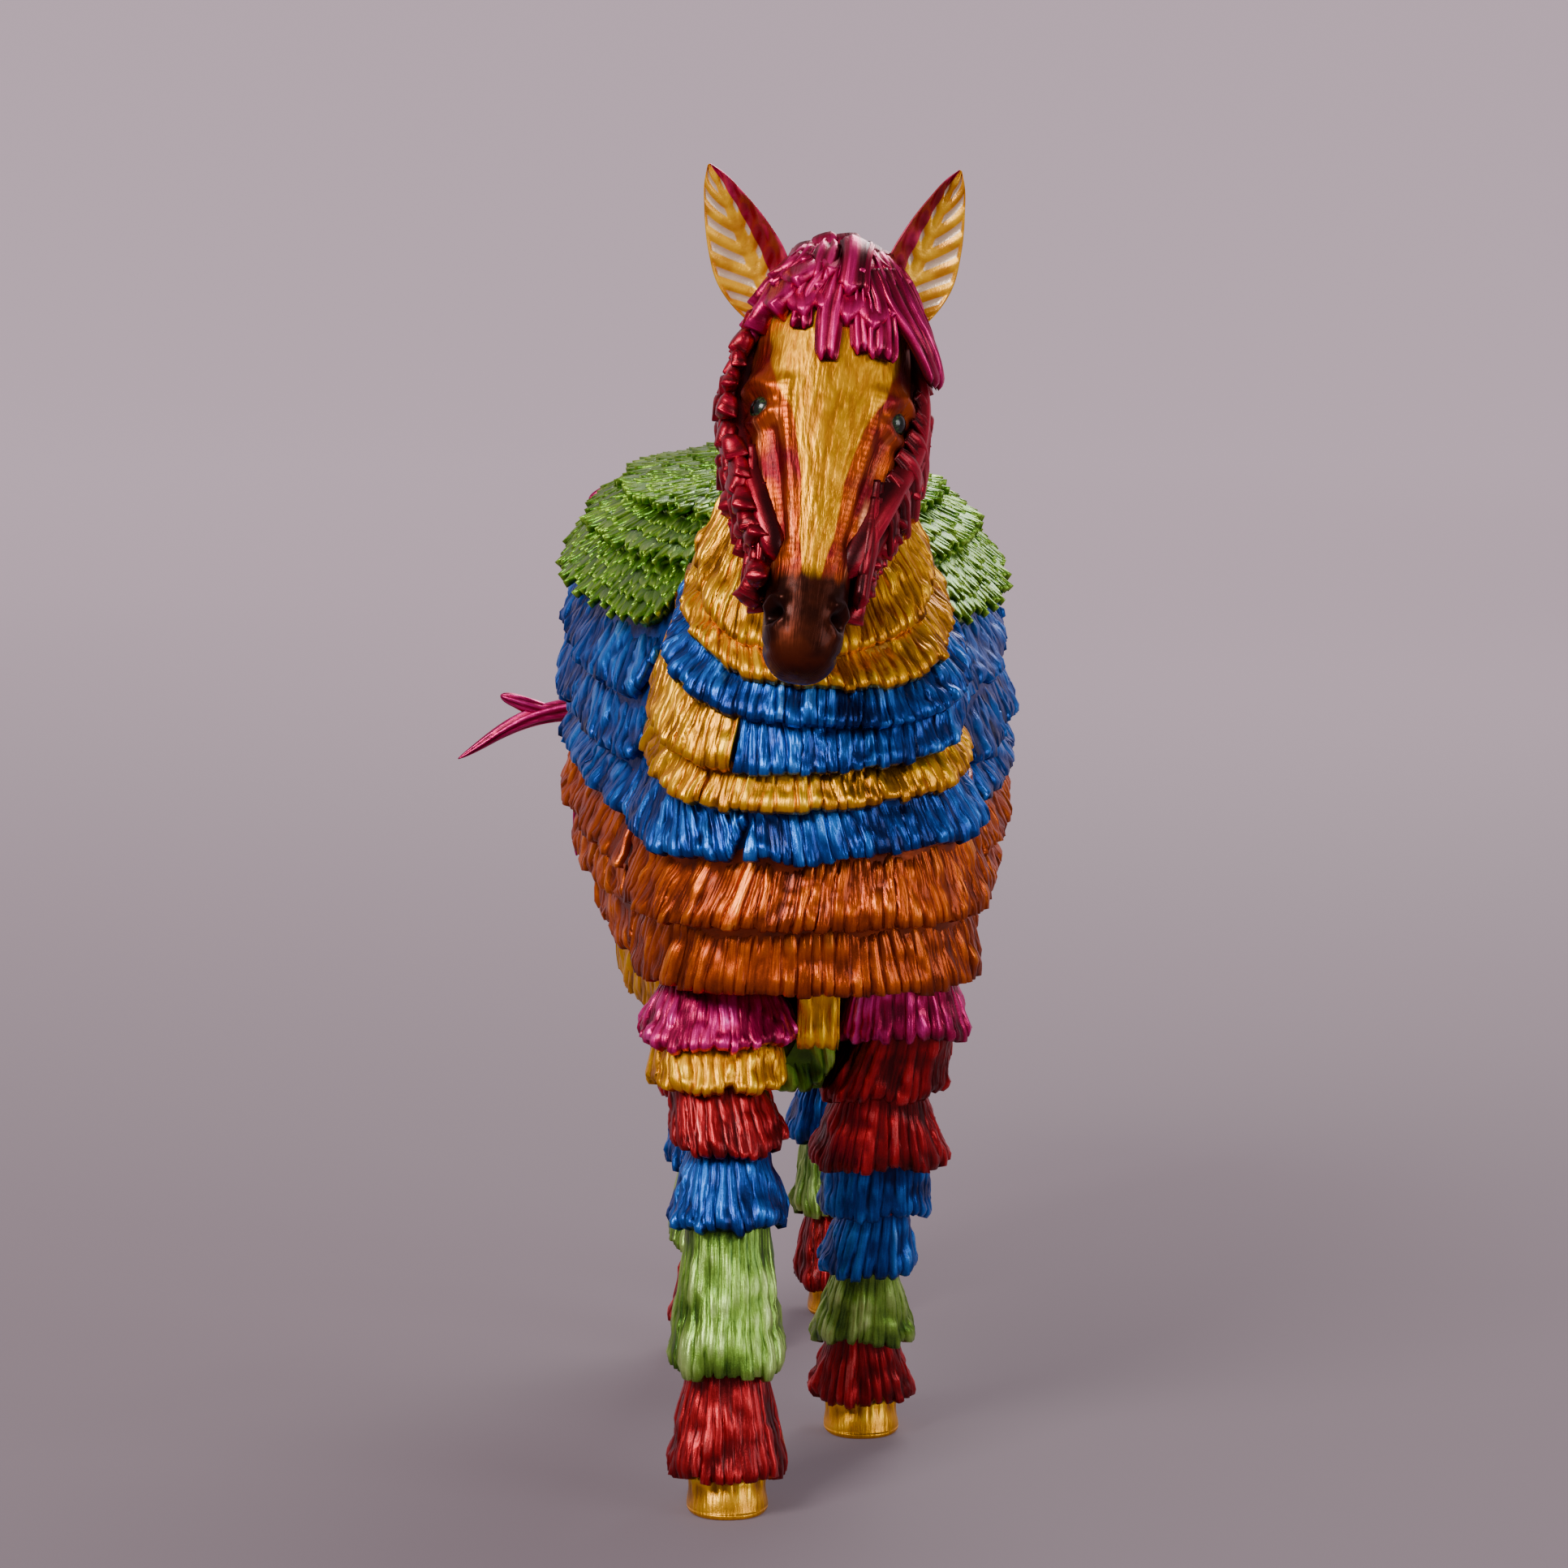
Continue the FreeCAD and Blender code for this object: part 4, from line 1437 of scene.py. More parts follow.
@dataclass
class GreenBack:
    """The back and rump, laid with short overlapping leaves over three rows of strip."""

    rows: tuple[str, ...] = ("back_green_row_lower", "back_green_row_upper", "back_green_cap")
    leaf_length: float = 2.7 * MM
    leaf_width: float = 1.25 * MM
    course: float = 1.35 * MM  # from one course of leaves to the next
    crown_rise: float = 1.1 * MM
    crown_length: float = 0.6  # of the row below it
    seed: int = 71
    base: Pleats = Pleats(
        depth=0.25 * MM, spacing=0.3 * MM, rows=9, wave=0.7 * MM, tuck=1.0 * MM, tuck_in=0.25
    )

    def crown(self, edge: Array, closed: bool) -> Lattice:
        """The grid that closes the top of the back.

        Args:
            edge: The upper edge of the topmost row.
            closed: Whether that edge is a ring.

        Returns:
            A grid from the spine out to the edge.
        """
        middle = (edge.min(0) + edge.max(0)) / 2
        spine = edge.copy()
        spine[:, 0] = middle[0]
        spine[:, 1] = middle[1] + (edge[:, 1] - middle[1]) * self.crown_length
        spine[:, 2] = edge[:, 2].max() + self.crown_rise
        return Lattice.between(spine, edge, closed, 7)

    def courses(self, bed: LeafBed, grid: Lattice, chance: np.random.Generator) -> None:
        """Lays staggered courses of leaves over a grid.

        Args:
            bed: The bed that takes them.
            grid: The grid.
            chance: What scatters them.
        """
        height = np.linalg.norm(grid.points[:, -1] - grid.points[:, 0], axis=1)
        levels = max(1, round(float(np.median(height)) / self.course))
        step = self.leaf_width * 0.78
        for level in range(levels):
            share = (level + 0.15) / levels
            count = max(3, int(grid.length / step))
            places = (np.arange(count) + 0.5 * (level % 2) + chance.uniform(-0.2, 0.2, count)) * step
            columns = np.searchsorted(grid.along, places).clip(0, len(grid.along) - 1)
            for column in columns:
                if height[column] < self.course:
                    continue
                ends = grid.points[column, 0], grid.points[column, -1]
                here = share + chance.uniform(-0.04, 0.04)
                point = ends[0] * (1 - here) + ends[1] * here + grid.outward[column] * 0.15 * MM
                bed.add(
                    point, grid.outward[column], grid.fall[column], self.leaf_length, self.leaf_width
                )

    def build(self, pleater: PleatTree, leaves: LeafTree) -> None:
        """Makes the strips and their leaves, row by row."""
        axis = CoreAxis("body_shell_left", "body_shell_right")
        chance = np.random.default_rng(self.seed)
        for number, node in enumerate(self.rows):
            bands = [Band.trace(solid, axis) for solid in solids_of(node)]
            grids = self.base.grids(bands)
            if node == "back_green_cap":
                top, _ = bands[0].columns(self.base.spacing)
                grids.append(self.crown(top, bands[0].closed))
            strip = self.base.cover(pleater, f"{node}_strip", grids, GREEN, 40 + number)
            bed = LeafBed(seed=90 + number, lift=0.1, turn=0.3, point=0.36)
            for grid in grids:
                self.courses(bed, grid, chance)
            laid = bed.grown(leaves, f"{node}_leaves", GREEN)
            hand_over(joined(f"{node}_strands", [strip, laid]), GREEN, [node])


# ---------------------------------------------------------------- the head


def spline(at: Array, places: Sequence[float], values: Sequence[float]) -> Array:
    """A smooth curve through stated values.

    Args:
        at: Where it is wanted.
        places: Where the values are stated, rising.
        values: The stated values.

    Returns:
        The curve's values.
    """
    x, y = np.asarray(places, float), np.asarray(values, float)
    slope = np.gradient(y, x)
    k = np.clip(np.searchsorted(x, at) - 1, 0, len(x) - 2)
    width = x[k + 1] - x[k]
    t = np.clip((at - x[k]) / width, 0.0, 1.0)
    start = (1 + 2 * t) * (1 - t) ** 2 * y[k] + t * (1 - t) ** 2 * width * slope[k]
    end = t * t * (3 - 2 * t) * y[k + 1] - t * t * (1 - t) * width * slope[k + 1]
    return start + end


def bent(values: Array, power: float) -> Array:
    """The values raised to a power with their signs kept."""
    return np.sign(values) * np.abs(values) ** power


def tube_object(name: str, points: Array, attributes: dict[str, Array]) -> Piece:
    """Makes a tube, closed at both ends, from its rings.

    Args:
        name: The object's name.
        points: The rings' points, ring by ring.
        attributes: Numbers or vectors for each point, by name.

    Returns:
        The tube.
    """
    number = np.arange(points.shape[0] * points.shape[1]).reshape(points.shape[:2])
    beside = np.roll(number, -1, axis=1)
    corners = (number[:-1], number[1:], beside[1:], beside[:-1])
    faces = np.stack([corner.ravel() for corner in corners], axis=1).tolist()
    faces += [number[0].tolist(), number[-1][::-1].tolist()]
    flat = {key: values.reshape(number.size, *values.shape[2:]) for key, values in attributes.items()}
    return mesh_object(name, points.reshape(-1, 3), faces, flat)


def face_outwards(piece: Piece) -> None:
    """Turns every face of a closed piece outwards."""
    whole = bmesh.new()
    whole.from_mesh(piece.data)
    bmesh.ops.recalc_face_normals(whole, faces=whole.faces)
    whole.to_mesh(piece.data)
    whole.free()


@dataclass(frozen=True)
class Mark:
    """A bump or a groove worked into the head along a line, the same on both sides."""

    path: tuple[tuple[float, float], ...]  # shares of the head's length, and degrees from the face
    radius: float
    height: float


@dataclass
class HeadForm:
    """The head's form: where it lies, its sections and what is worked into it."""

    length: float = 37.2 * MM
    eye_share: float = 0.417
    eye_rise: float = 1.96 * MM
    eye_radius: float = 1.3 * MM
    eye_sink: float = 0.45 * MM
    eye_raise: float = 0.7 * MM  # towards the poll
    squareness: float = 0.84
    muzzle_start: float = 0.955  # where the end starts to round off
    muzzle_end: float = 1.045
    sections: tuple[tuple[float, float, float, float], ...] = (
        (-0.04, 3.6, 3.0, 4.0),
        (0.04, 5.2, 4.2, 6.4),
        (0.16, 6.4, 4.8, 8.6),
        (0.30, 7.1, 5.0, 10.0),
        (0.42, 6.8, 4.9, 10.2),
        (0.54, 5.6, 4.6, 8.4),
        (0.66, 4.5, 4.2, 6.2),
        (0.78, 3.6, 3.8, 4.8),
        (0.88, 3.5, 3.6, 4.3),
        (0.97, 3.4, 3.1, 3.9),
        (1.05, 3.2, 2.8, 3.6),
    )
    marks: tuple[Mark, ...] = (
        Mark(((0.20, 0),), 4.0, 0.35),
        Mark(((0.27, 60),), 1.6, -0.35),
        Mark(((0.398, 60),), 1.9, -0.5),
        Mark(((0.372, 46), (0.350, 60), (0.36, 80)), 1.05, 0.8),
        Mark(((0.43, 46), (0.447, 60), (0.435, 78)), 0.75, 0.6),
        Mark(((0.50, 70), (0.60, 64), (0.70, 56)), 0.75, 0.4),
        Mark(((0.48, 46), (0.60, 44), (0.74, 42)), 0.7, -0.35),
        Mark(((0.36, 30), (0.50, 31), (0.64, 31), (0.78, 32)), 0.6, 0.3),
        Mark(((0.52, 86), (0.62, 80), (0.72, 70)), 0.4, 0.22),
        Mark(((0.40, 120),), 3.4, 0.3),
        Mark(((0.895, 36), (0.885, 52), (0.90, 70)), 0.55, 0.42),
        Mark(((0.945, 34), (0.965, 48), (0.95, 64)), 0.45, 0.25),
        Mark(((0.925, 46), (0.93, 60)), 0.5, -1.15),
        Mark(((1.02, 60), (0.99, 90), (0.95, 108), (0.89, 118)), 0.35, -0.4),
        Mark(((0.955, 180),), 1.4, 0.4),
    )
    nostril: int = 12  # which mark is the nostril's hole
    nose_way: Colour = (0.0, -0.54, -0.84)  # roughly from the poll to the muzzle
    tip: float = 3 * MM  # how much of the CAD head's end shows where the muzzle is

    def __post_init__(self) -> None:
        """Finds the head's directions from the CAD head and eyes."""
        eyes = sorted(solids_of("eyes"), key=lambda eye: eye.points[:, 0].mean())
        self.eyes = [(eye.low + eye.high) / 2 for eye in eyes]
        across = unit(self.eyes[1] - self.eyes[0])
        points = node_points("head")
        reach = points @ np.array(self.nose_way)
        tip = points[reach > reach.max() - self.tip]
        muzzle = (tip.min(0) + tip.max(0)) / 2
        between = (self.eyes[0] + self.eyes[1]) / 2
        face = unit(np.cross(muzzle - between, across))
        on_axis = between - face * self.eye_rise
        self.axis = unit(muzzle - on_axis)
        self.face = unit(np.cross(self.axis, across))
        self.across = np.cross(self.face, self.axis)
        self.poll = on_axis - self.axis * (self.length * self.eye_share)
        for number, side in enumerate((-1.0, 1.0)):
            sunk = self.across * side * self.eye_sink
            self.eyes[number] = self.eyes[number] - sunk - self.axis * self.eye_raise

    def surface(self, share: Array, angle: Array, shrink: float | Array = 1.0) -> Array:
        """The smooth form's points.

        Args:
            share: How far down the head, from 0 at the poll to 1 at the muzzle.
            angle: Radians from the middle of the face towards the left.
            shrink: How much each section is drawn in about its middle.

        Returns:
            The points.
        """
        share, angle = np.broadcast_arrays(np.asarray(share, float), np.asarray(angle, float))
        places, *columns = np.array(self.sections).T
        half, front, back = (spline(share, places, column) * MM for column in columns)
        sine, cosine = bent(np.sin(angle), self.squareness), bent(np.cos(angle), self.squareness)
        depth = np.where(cosine > 0, front, back) * cosine
        middle = (front - back) / 2
        wide = (half * sine * shrink)[..., None]
        deep = (middle + (depth - middle) * shrink)[..., None]
        down = (share * self.length)[..., None]
        return self.poll + self.axis * down + self.across * wide + self.face * deep

    def trodden(self, mark: Mark, side: Side) -> Array:
        """The points of the smooth form that a mark runs through on one side."""
        shares, degrees = np.array(mark.path, float).T
        steps = np.linspace(0, len(shares) - 1, 10 * (len(shares) - 1) + 1)
        share = np.interp(steps, np.arange(len(shares)), shares)
        angle = np.radians(np.interp(steps, np.arange(len(shares)), degrees)) * side.value
        return self.surface(share, angle)

    def worked(self, points: Array, mark: Mark) -> Array:
        """How strongly a mark works each point, from 0 to 1."""
        strength = np.zeros(points.shape[:-1])
        for side in Side:
            for centre in self.trodden(mark, side):
                distance = np.linalg.norm(points - centre, axis=-1) / (mark.radius * MM)
                strength = np.maximum(strength, np.exp(-(distance**2)))
        return strength

    def bed_frame(self, share: float | Array, degrees: float | Array) -> tuple[Array, Array, Array]:
        """Where a leaf or a strap is laid on the head.

        Args:
            share: How far down the head.
            degrees: How far round from the face.

        Returns:
            The point, the way out of the head and the way down it.
        """
        angle, small = np.radians(degrees), 0.01
        point = self.surface(share, angle)
        down = unit(self.surface(share + small, angle) - point)
        round_it = unit(self.surface(share, angle + small) - point)
        return point, unit(np.cross(down, round_it)), down


@dataclass
class Head:
    """The head itself and its eyes."""

    form: HeadForm
    around: int = 168
    down: int = 210
    cap: int = 16
    blaze: tuple[tuple[float, float], ...] = (
        (0.0, 70),
        (0.15, 62),
        (0.28, 50),
        (0.36, 36),
        (0.46, 23),
        (0.60, 17),
        (0.74, 18),
        (0.84, 10),
    )
    gaze: tuple[float, float, float] = (0.80, 0.55, 0.10)  # across, out of the face and down it

    def skin(self) -> Piece:
        """The head's skin, from the poll to the lips."""
        form = self.form
        turn = np.linspace(0.0, math.pi / 2, self.cap)[1:]
        start = form.sections[0][0]
        main_part = np.linspace(start, form.muzzle_start, self.down)
        ending = form.muzzle_start + (form.muzzle_end - form.muzzle_start) * np.sin(turn)
        share = np.concatenate([main_part, ending])[:, None]
        drawn = np.concatenate([np.ones(self.down), np.maximum(np.cos(turn), 0.02) ** 0.62])[:, None]
        drawn = drawn * (1 - 0.97 * (1 - eased(share, start, start + 0.05)))
        angle = all_round(self.around, -math.pi)
        points = form.surface(share, angle, drawn)
        along, round_it = np.gradient(points, axis=0), np.roll(points, -1, 1) - np.roll(points, 1, 1)
        normal = unit(np.cross(along, round_it))
        height = np.zeros(points.shape[:2])
        for mark in form.marks:
            height += form.worked(points, mark) * mark.height * MM
        points = points + normal * height[..., None]
        share, angle = np.broadcast_arrays(share, angle)
        limit = np.interp(share, *np.array(self.blaze).T)
        degrees = np.abs(np.degrees(angle))
        blaze = 1 - eased(degrees / limit, 0.7, 1.3)
        blaze = blaze * eased(share, -0.02, 0.05)
        streak = eased(share, 0.40, 0.52) * (1 - eased(share, 0.78, 0.86))
        streak = streak * eased(degrees, 22, 36) * (1 - eased(degrees, 78, 110))
        attributes = {
            # low values mark the hollows that the head paint darkens with painted shade
            "ridge": np.clip(0.5 + height / (0.8 * MM), 0, 1),
            "blaze": blaze,
            "streak": streak,
            "flank": np.maximum(eased(degrees, 72, 104), 1 - eased(share, 0.0, 0.08)),
            "muzzle": eased(share, 0.74, 0.91),
            # the nostril holes, which the head paint fills with painted shade
            "hole": eased(form.worked(points, form.marks[form.nostril]), 0.08, 0.3),
            "lay": np.stack([angle * 5 * MM, share * form.length, 0 * share], axis=-1),
        }
        return tube_object("head_skin", points, attributes)

    def eyeballs(self) -> Piece:
        """Both eyes, each looking outwards and a little forwards."""
        form, balls = self.form, []
        for side, centre in zip((Side.RIGHT, Side.LEFT), form.eyes):
            ball = bmesh.new()
            bmesh.ops.create_icosphere(ball, subdivisions=5, radius=form.eye_radius)
            points = np.array([v.co[:] for v in ball.verts])
            faces = [[v.index for v in f.verts] for f in ball.faces]
            ball.free()
            out, front, down = self.gaze
            look = unit(form.across * out * side.value + form.face * front + form.axis * down)
            gaze = unit(points) @ look
            balls.append(mesh_object(f"eye_{side.name}", points + centre, faces, {"gaze": gaze}))
        return joined("eyeballs", balls)

    def build(self) -> None:
        """Makes the skin and the eyes."""
        hand_over(self.skin(), HEAD_PAINT, ["head"])
        hand_over(self.eyeballs(), EYE_GLOSS, ["eyes"])


@dataclass(frozen=True)
class Course:
    """A course of leaves across the head."""

    share: float
    start: float  # degrees from the face, towards the left
    end: float
    count: int
    length: float  # millimetres
    width: float
    aside: float = 0.0  # how much the leaves turn outwards as they fall
    raised: float = 0.3  # millimetres off the skin


@dataclass(frozen=True)
class Strap:
    """A ridged strap of putty laid over the head, with a blunt end."""

    path: tuple[tuple[float, float, float], ...]  # share, degrees, and millimetres off the skin
    width: float
    thickness: float = 0.9
    ridges: int = 3

    def made(self, form: HeadForm, name: str, chance: np.random.Generator) -> Piece:
        """Makes the strap.

        Args:
            form: The head it lies on.
            name: Its name.
            chance: What varies its ridges and its end.

        Returns:
            A closed mesh with the attributes that the paint reads.
        """
        steps, around = 44, 40
        share, degrees, raised = np.array(self.path, float).T
        knots = np.arange(len(share), dtype=float)
        u = np.linspace(0.0, 1.0, steps)
        at = u * knots[-1]
        point, out, _ = form.bed_frame(spline(at, knots, share), spline(at, knots, degrees))
        line = point + out * (spline(at, knots, raised) * MM)[:, None]
        along = unit(np.gradient(line, axis=0))
        side = unit(np.cross(along, out))
        out = np.cross(side, along)
        turn = all_round(around)
        across, up = bent(np.cos(turn), 0.75), bent(np.sin(turn), 0.8)
        u = u[:, None]
        blunt = np.sqrt(np.clip(1 - np.clip((u - 0.92) / 0.08, 0, 1) ** 2, 0.03, 1))
        start = 0.7 + 0.3 * eased(u, 0.0, 0.3)
        swell = 1 + 0.12 * np.sin(u * 6 + chance.uniform(0, 6))
        wide = self.width / 2 * MM * start * swell * (0.75 + 0.25 * blunt)
        deep = self.thickness / 2 * MM * start * blunt
        phase, drift = chance.uniform(0, 6, 2)
        wander = across + 0.12 * np.sin(3.1 * u + drift)
        ridge = 0.5 + 0.5 * np.cos(wander * math.pi * (self.ridges - 0.7) + phase)
        fine = 0.5 + 0.5 * np.cos(wander * math.pi * self.ridges * 3.3 + drift + 2 * u)
        high = 0.72 * ridge**0.7 + 0.28 * fine
        top = eased(up, 0.0, 0.5)
        lifted = up * deep + top * (high - 0.5) * 0.5 * MM * blunt
        ragged = (0.34 * np.cos(across * 4.1 + phase) + 0.26 * ridge - 0.2) * MM * u**6
        points = (
            line[:, None]
            + side[:, None] * (across * wide)[..., None]
            + out[:, None] * lifted[..., None]
            + along[:, None] * np.broadcast_to(ragged, lifted.shape)[..., None]
        )
        # Painted shade: the strap is darker on its underside and towards its root, and lighter along
        # its ridges as painted highlight.
        shade = high * (0.25 + 0.75 * top) * (0.55 + 0.45 * eased(u, 0.0, 0.35))
        place = np.broadcast_to(u * 6 * MM, shade.shape)
        lay = np.stack([across * wide, place, 0 * shade], axis=-1)
        attributes = {
            "ridge": shade,
            "lay": lay,
            "strand": np.full(shade.shape, chance.uniform(0.0, 1.0)),
        }
        made = tube_object(name, points, attributes)
        face_outwards(made)
        return made


@dataclass
class HeadHair:
    """Putty hair on the head: courses of leaves, and straps laid over them."""

    form: HeadForm
    node: str
    paint: Finish
    courses: tuple[Course, ...]
    straps: tuple[Strap, ...]
    bed: LeafBed
    stray: float = 0.012  # how far a leaf strays down the head, as a share of it
    stray_degrees: float = 3.0
    growth: float = 0.25  # how much a leaf's size varies

    def build(self, leaves: LeafTree) -> None:
        """Lays the courses and the straps."""
        chance = np.random.default_rng(self.bed.seed)
        for course in self.courses:
            for degrees in np.linspace(course.start, course.end, course.count):
                share = course.share + chance.uniform(-self.stray, self.stray)
                angle = degrees + chance.uniform(-self.stray_degrees, self.stray_degrees)
                point, out, down = self.form.bed_frame(share, angle)
                sideways = np.cross(down, out) * math.copysign(course.aside, -degrees)
                scale = chance.uniform(1 - self.growth, 1 + self.growth)
                self.bed.add(
                    point + out * course.raised * MM,
                    out,
                    unit(down - sideways),
                    course.length * scale * MM,
                    course.width * scale * MM,
                )
        laid = [self.bed.grown(leaves, f"{self.node}_leaves", self.paint)]
        for number, strap in enumerate(self.straps):
            one = strap.made(self.form, f"{self.node}_strap_{number}", chance)
            one.data.materials.append(self.paint.material())
            laid.append(one)
        hand_over(joined(f"{self.node}_hair", laid), self.paint, [self.node])


FORELOCK_COURSES = (
    Course(0.10, -90, 96, 11, 3.4, 2.3, aside=0.2, raised=0.2),
    Course(0.05, -100, 104, 11, 3.4, 2.3, aside=0.2, raised=0.2),
    Course(0.00, -130, 135, 12, 3.2, 2.3, aside=0.1, raised=0.1),
    Course(-0.05, -180, 150, 12, 3.0, 2.4, raised=0.0),
)
FORELOCK_STRAPS = (
    Strap(((0.02, -45, 0.8), (0.09, -62, 0.7), (0.17, -86, 0.6), (0.28, -96, 0.4)), 1.5),
    Strap(((0.03, -30, 0.9), (0.10, -52, 0.6), (0.16, -72, 0.4), (0.22, -84, 0.3)), 1.5),
    Strap(((0.05, -22, 0.8), (0.11, -42, 0.5), (0.155, -60, 0.25)), 1.7),
    Strap(((0.06, -14, 0.9), (0.13, -24, 0.7), (0.22, -25, 0.4)), 2.0),
    Strap(((0.07, -4, 1.0), (0.16, -6, 0.8), (0.30, -5, 0.4)), 2.1),
    Strap(((0.07, 6, 1.0), (0.16, 8, 0.7), (0.27, 12, 0.4)), 1.6),
    Strap(((0.06, 16, 1.1), (0.15, 24, 1.0), (0.275, 27, 0.6)), 2.6, 1.0, 4),
    Strap(((0.05, 28, 1.1), (0.14, 40, 1.2), (0.21, 56, 1.5), (0.285, 74, 2.0)), 2.8, 1.1),
    Strap(((0.03, 44, 1.0), (0.11, 60, 1.2), (0.18, 78, 1.8), (0.25, 92, 2.4)), 2.6),
    Strap(((0.00, 60, 0.9), (0.07, 78, 1.0), (0.13, 96, 1.4), (0.19, 110, 1.8)), 2.4),
    Strap(((-0.02, -70, 0.2), (0.05, -84, 0.6), (0.12, -102, 0.6)), 2.0),
    Strap(((-0.03, -40, 0.2), (0.01, -40, 0.6), (0.07, -46, 0.7)), 2.0),
    Strap(((-0.04, -18, 0.3), (0.01, -16, 0.8), (0.10, -17, 0.9)), 2.2),
    Strap(((-0.03, 36, 0.2), (0.01, 34, 0.7), (0.09, 34, 1.1)), 2.2),
    Strap(((-0.03, 62, 0.2), (0.03, 66, 0.8), (0.11, 72, 1.2)), 2.2),
    Strap(((-0.05, 8, 0.4), (-0.01, 7, 1.1), (0.05, 5, 1.4), (0.13, 4, 1.1)), 2.9, 1.3, 2),
)


def cheek_courses(side: Side, start: float, end: float, count: int) -> tuple[Course, ...]:
    """Courses of small lumps down one cheek.

    Args:
        side: Which cheek.
        start: Degrees from the face where each course starts.
        end: Degrees where it ends.
        count: How many lumps are in a course.

    Returns:
        The courses, the lowest first.
    """
    made = []
    for share in np.arange(0.80, 0.13, -0.045):
        off = 0.3 + 1.5 * math.sin(math.pi * (share - 0.08) / 0.8)
        across = (side.value * start, side.value * end)
        made.append(Course(share, *across, count, 2.1, 1.7, aside=0.7, raised=off))
    return tuple(made)


def cheek_pad(side: Side) -> Strap:
    """The thick underlay of one cheek's hair."""
    path = ((0.10, 96, -0.6), (0.28, 98, 0.2), (0.48, 98, 0.6), (0.64, 94, 0.2), (0.80, 92, -0.6))
    return Strap(tuple((s, side.value * d, r) for s, d, r in path), 6.4, 3.2, 5)


LEFT_CHEEK_STRAPS = (
    cheek_pad(Side.LEFT),
    Strap(((0.56, 98, 0.8), (0.62, 106, 1.4), (0.70, 112, 1.8)), 2.2),
    Strap(((0.58, 68, 0.3), (0.61, 84, 1.5), (0.67, 98, 2.4)), 2.5, 1.0, 2),
    Strap(((0.53, 68, 0.3), (0.55, 86, 1.8), (0.60, 102, 3.0)), 2.6, 1.0, 2),
    Strap(((0.47, 70, 0.3), (0.485, 90, 2.0), (0.53, 108, 3.2)), 2.6, 1.0, 2),
    Strap(((0.415, 76, 0.3), (0.43, 94, 1.9), (0.465, 110, 3.0)), 2.5, 1.0, 2),
    Strap(((0.36, 78, 0.4), (0.375, 94, 1.6), (0.41, 110, 2.6)), 2.4, 0.9, 2),
    Strap(((0.30, 80, 0.4), (0.315, 96, 1.3), (0.35, 110, 2.0)), 2.2, 0.9, 2),
    Strap(((0.60, 66, 0.3), (0.70, 76, 0.8), (0.78, 82, 1.0), (0.85, 88, 0.9)), 3.0, 1.2, 2),
    Strap(((0.56, 62, 0.0), (0.66, 70, 0.5), (0.74, 74, 0.8), (0.80, 78, 0.9)), 2.2, 1.0, 3),
)
RIGHT_CHEEK_STRAPS = (
    cheek_pad(Side.RIGHT),
    Strap(((0.50, -74, 0.4), (0.62, -80, 0.9), (0.74, -84, 1.0), (0.84, -88, 0.7)), 1.9, 1.0, 2),
    Strap(((0.60, -66, 0.1), (0.70, -74, 0.6), (0.79, -80, 0.8)), 1.6, 0.9, 2),
)


@dataclass
class Ear:
    """One ear: a cupped leaf with strokes between raised lines on its inside."""

    side: Side
    length: float = 15.2 * MM
    outline: tuple[tuple[float, float], ...] = (
        (0.0, 1.5),
        (0.14, 2.7),
        (0.34, 3.5),
        (0.56, 3.05),
        (0.78, 1.95),
        (0.93, 0.9),
        (1.0, 0.12),
    )
    cup: float = 1.25 * MM  # how deep the inside is
    wall: float = 0.8 * MM
    strokes: float = 6.8  # how many lines rise from the middle
    slant: float = 1.5  # how many strokes a line climbs on its way out
    line: float = 0.3 * MM  # how far the lines stand up
    rim_from: float = 0.2  # where the crimson inner rim starts
    rings: int = 110
    around: int = 84

    def build(self) -> None:
        """Finds the ear's place and makes it."""
        node = f"ear_{self.side.name.lower()}"
        points = node_points(node)
        middle = (points.min(0) + points.max(0)) / 2
        _, _, axes = np.linalg.svd(points - points.mean(0), full_matrices=False)
        rise = axes[0] * np.sign(axes[0][2])
        normal = axes[2] * -np.sign(axes[2][1])
        outer = unit(np.cross(normal, rise))
        outer = outer * np.sign(outer[0]) * self.side.value
        tip = middle + rise * float(((points - middle) @ rise).max())
        foot = tip - rise * self.length
        share = np.linspace(0.0, 1.0, self.rings)[:, None]
        turn = all_round(self.around)
        half = spline(share, *np.array(self.outline).T) * MM
        across, front = np.cos(turn), np.sin(turn)
        bow = self.cup * (across**2 - 1) * (half / half.max())
        wall = self.wall * (0.45 + 0.55 * (1 - share)) * np.minimum(1, half / MM)
        stroke = share * self.strokes - np.abs(across) * self.slant
        lines = np.abs(np.cos(math.pi * stroke)) ** 2.2
        lines = np.maximum(lines, np.exp(-((across / 0.16) ** 2)))
        lines = np.maximum(lines, eased(np.abs(across), 0.86, 0.97))
        inside = np.clip(front * 3, 0, 1) * eased(share, 0.0, 0.12)
        rolled = eased(-across, 0.55, 1.0) * 1.0 * MM * (half / half.max())
        out = bow + wall * front / 2 + inside * (lines - 0.4) * self.line + rolled
        points = (
            foot
            + rise * (share * self.length)[..., None]
            + outer * (half * across)[..., None]
            + normal * out[..., None]
        )
        across, front, _ = np.broadcast_arrays(across, front, out)
        rim = np.maximum(eased(-across, self.rim_from, self.rim_from + 0.2), front < 0.05)
        attributes = {"ridge": lines * inside, "rim": rim.astype(float)}
        ear = tube_object(f"{node}_leaf", points, attributes)
        face_outwards(ear)
        hand_over(ear, EAR_PAINT, [node])


# ---------------------------------------------------------------- hooves, mane and tail


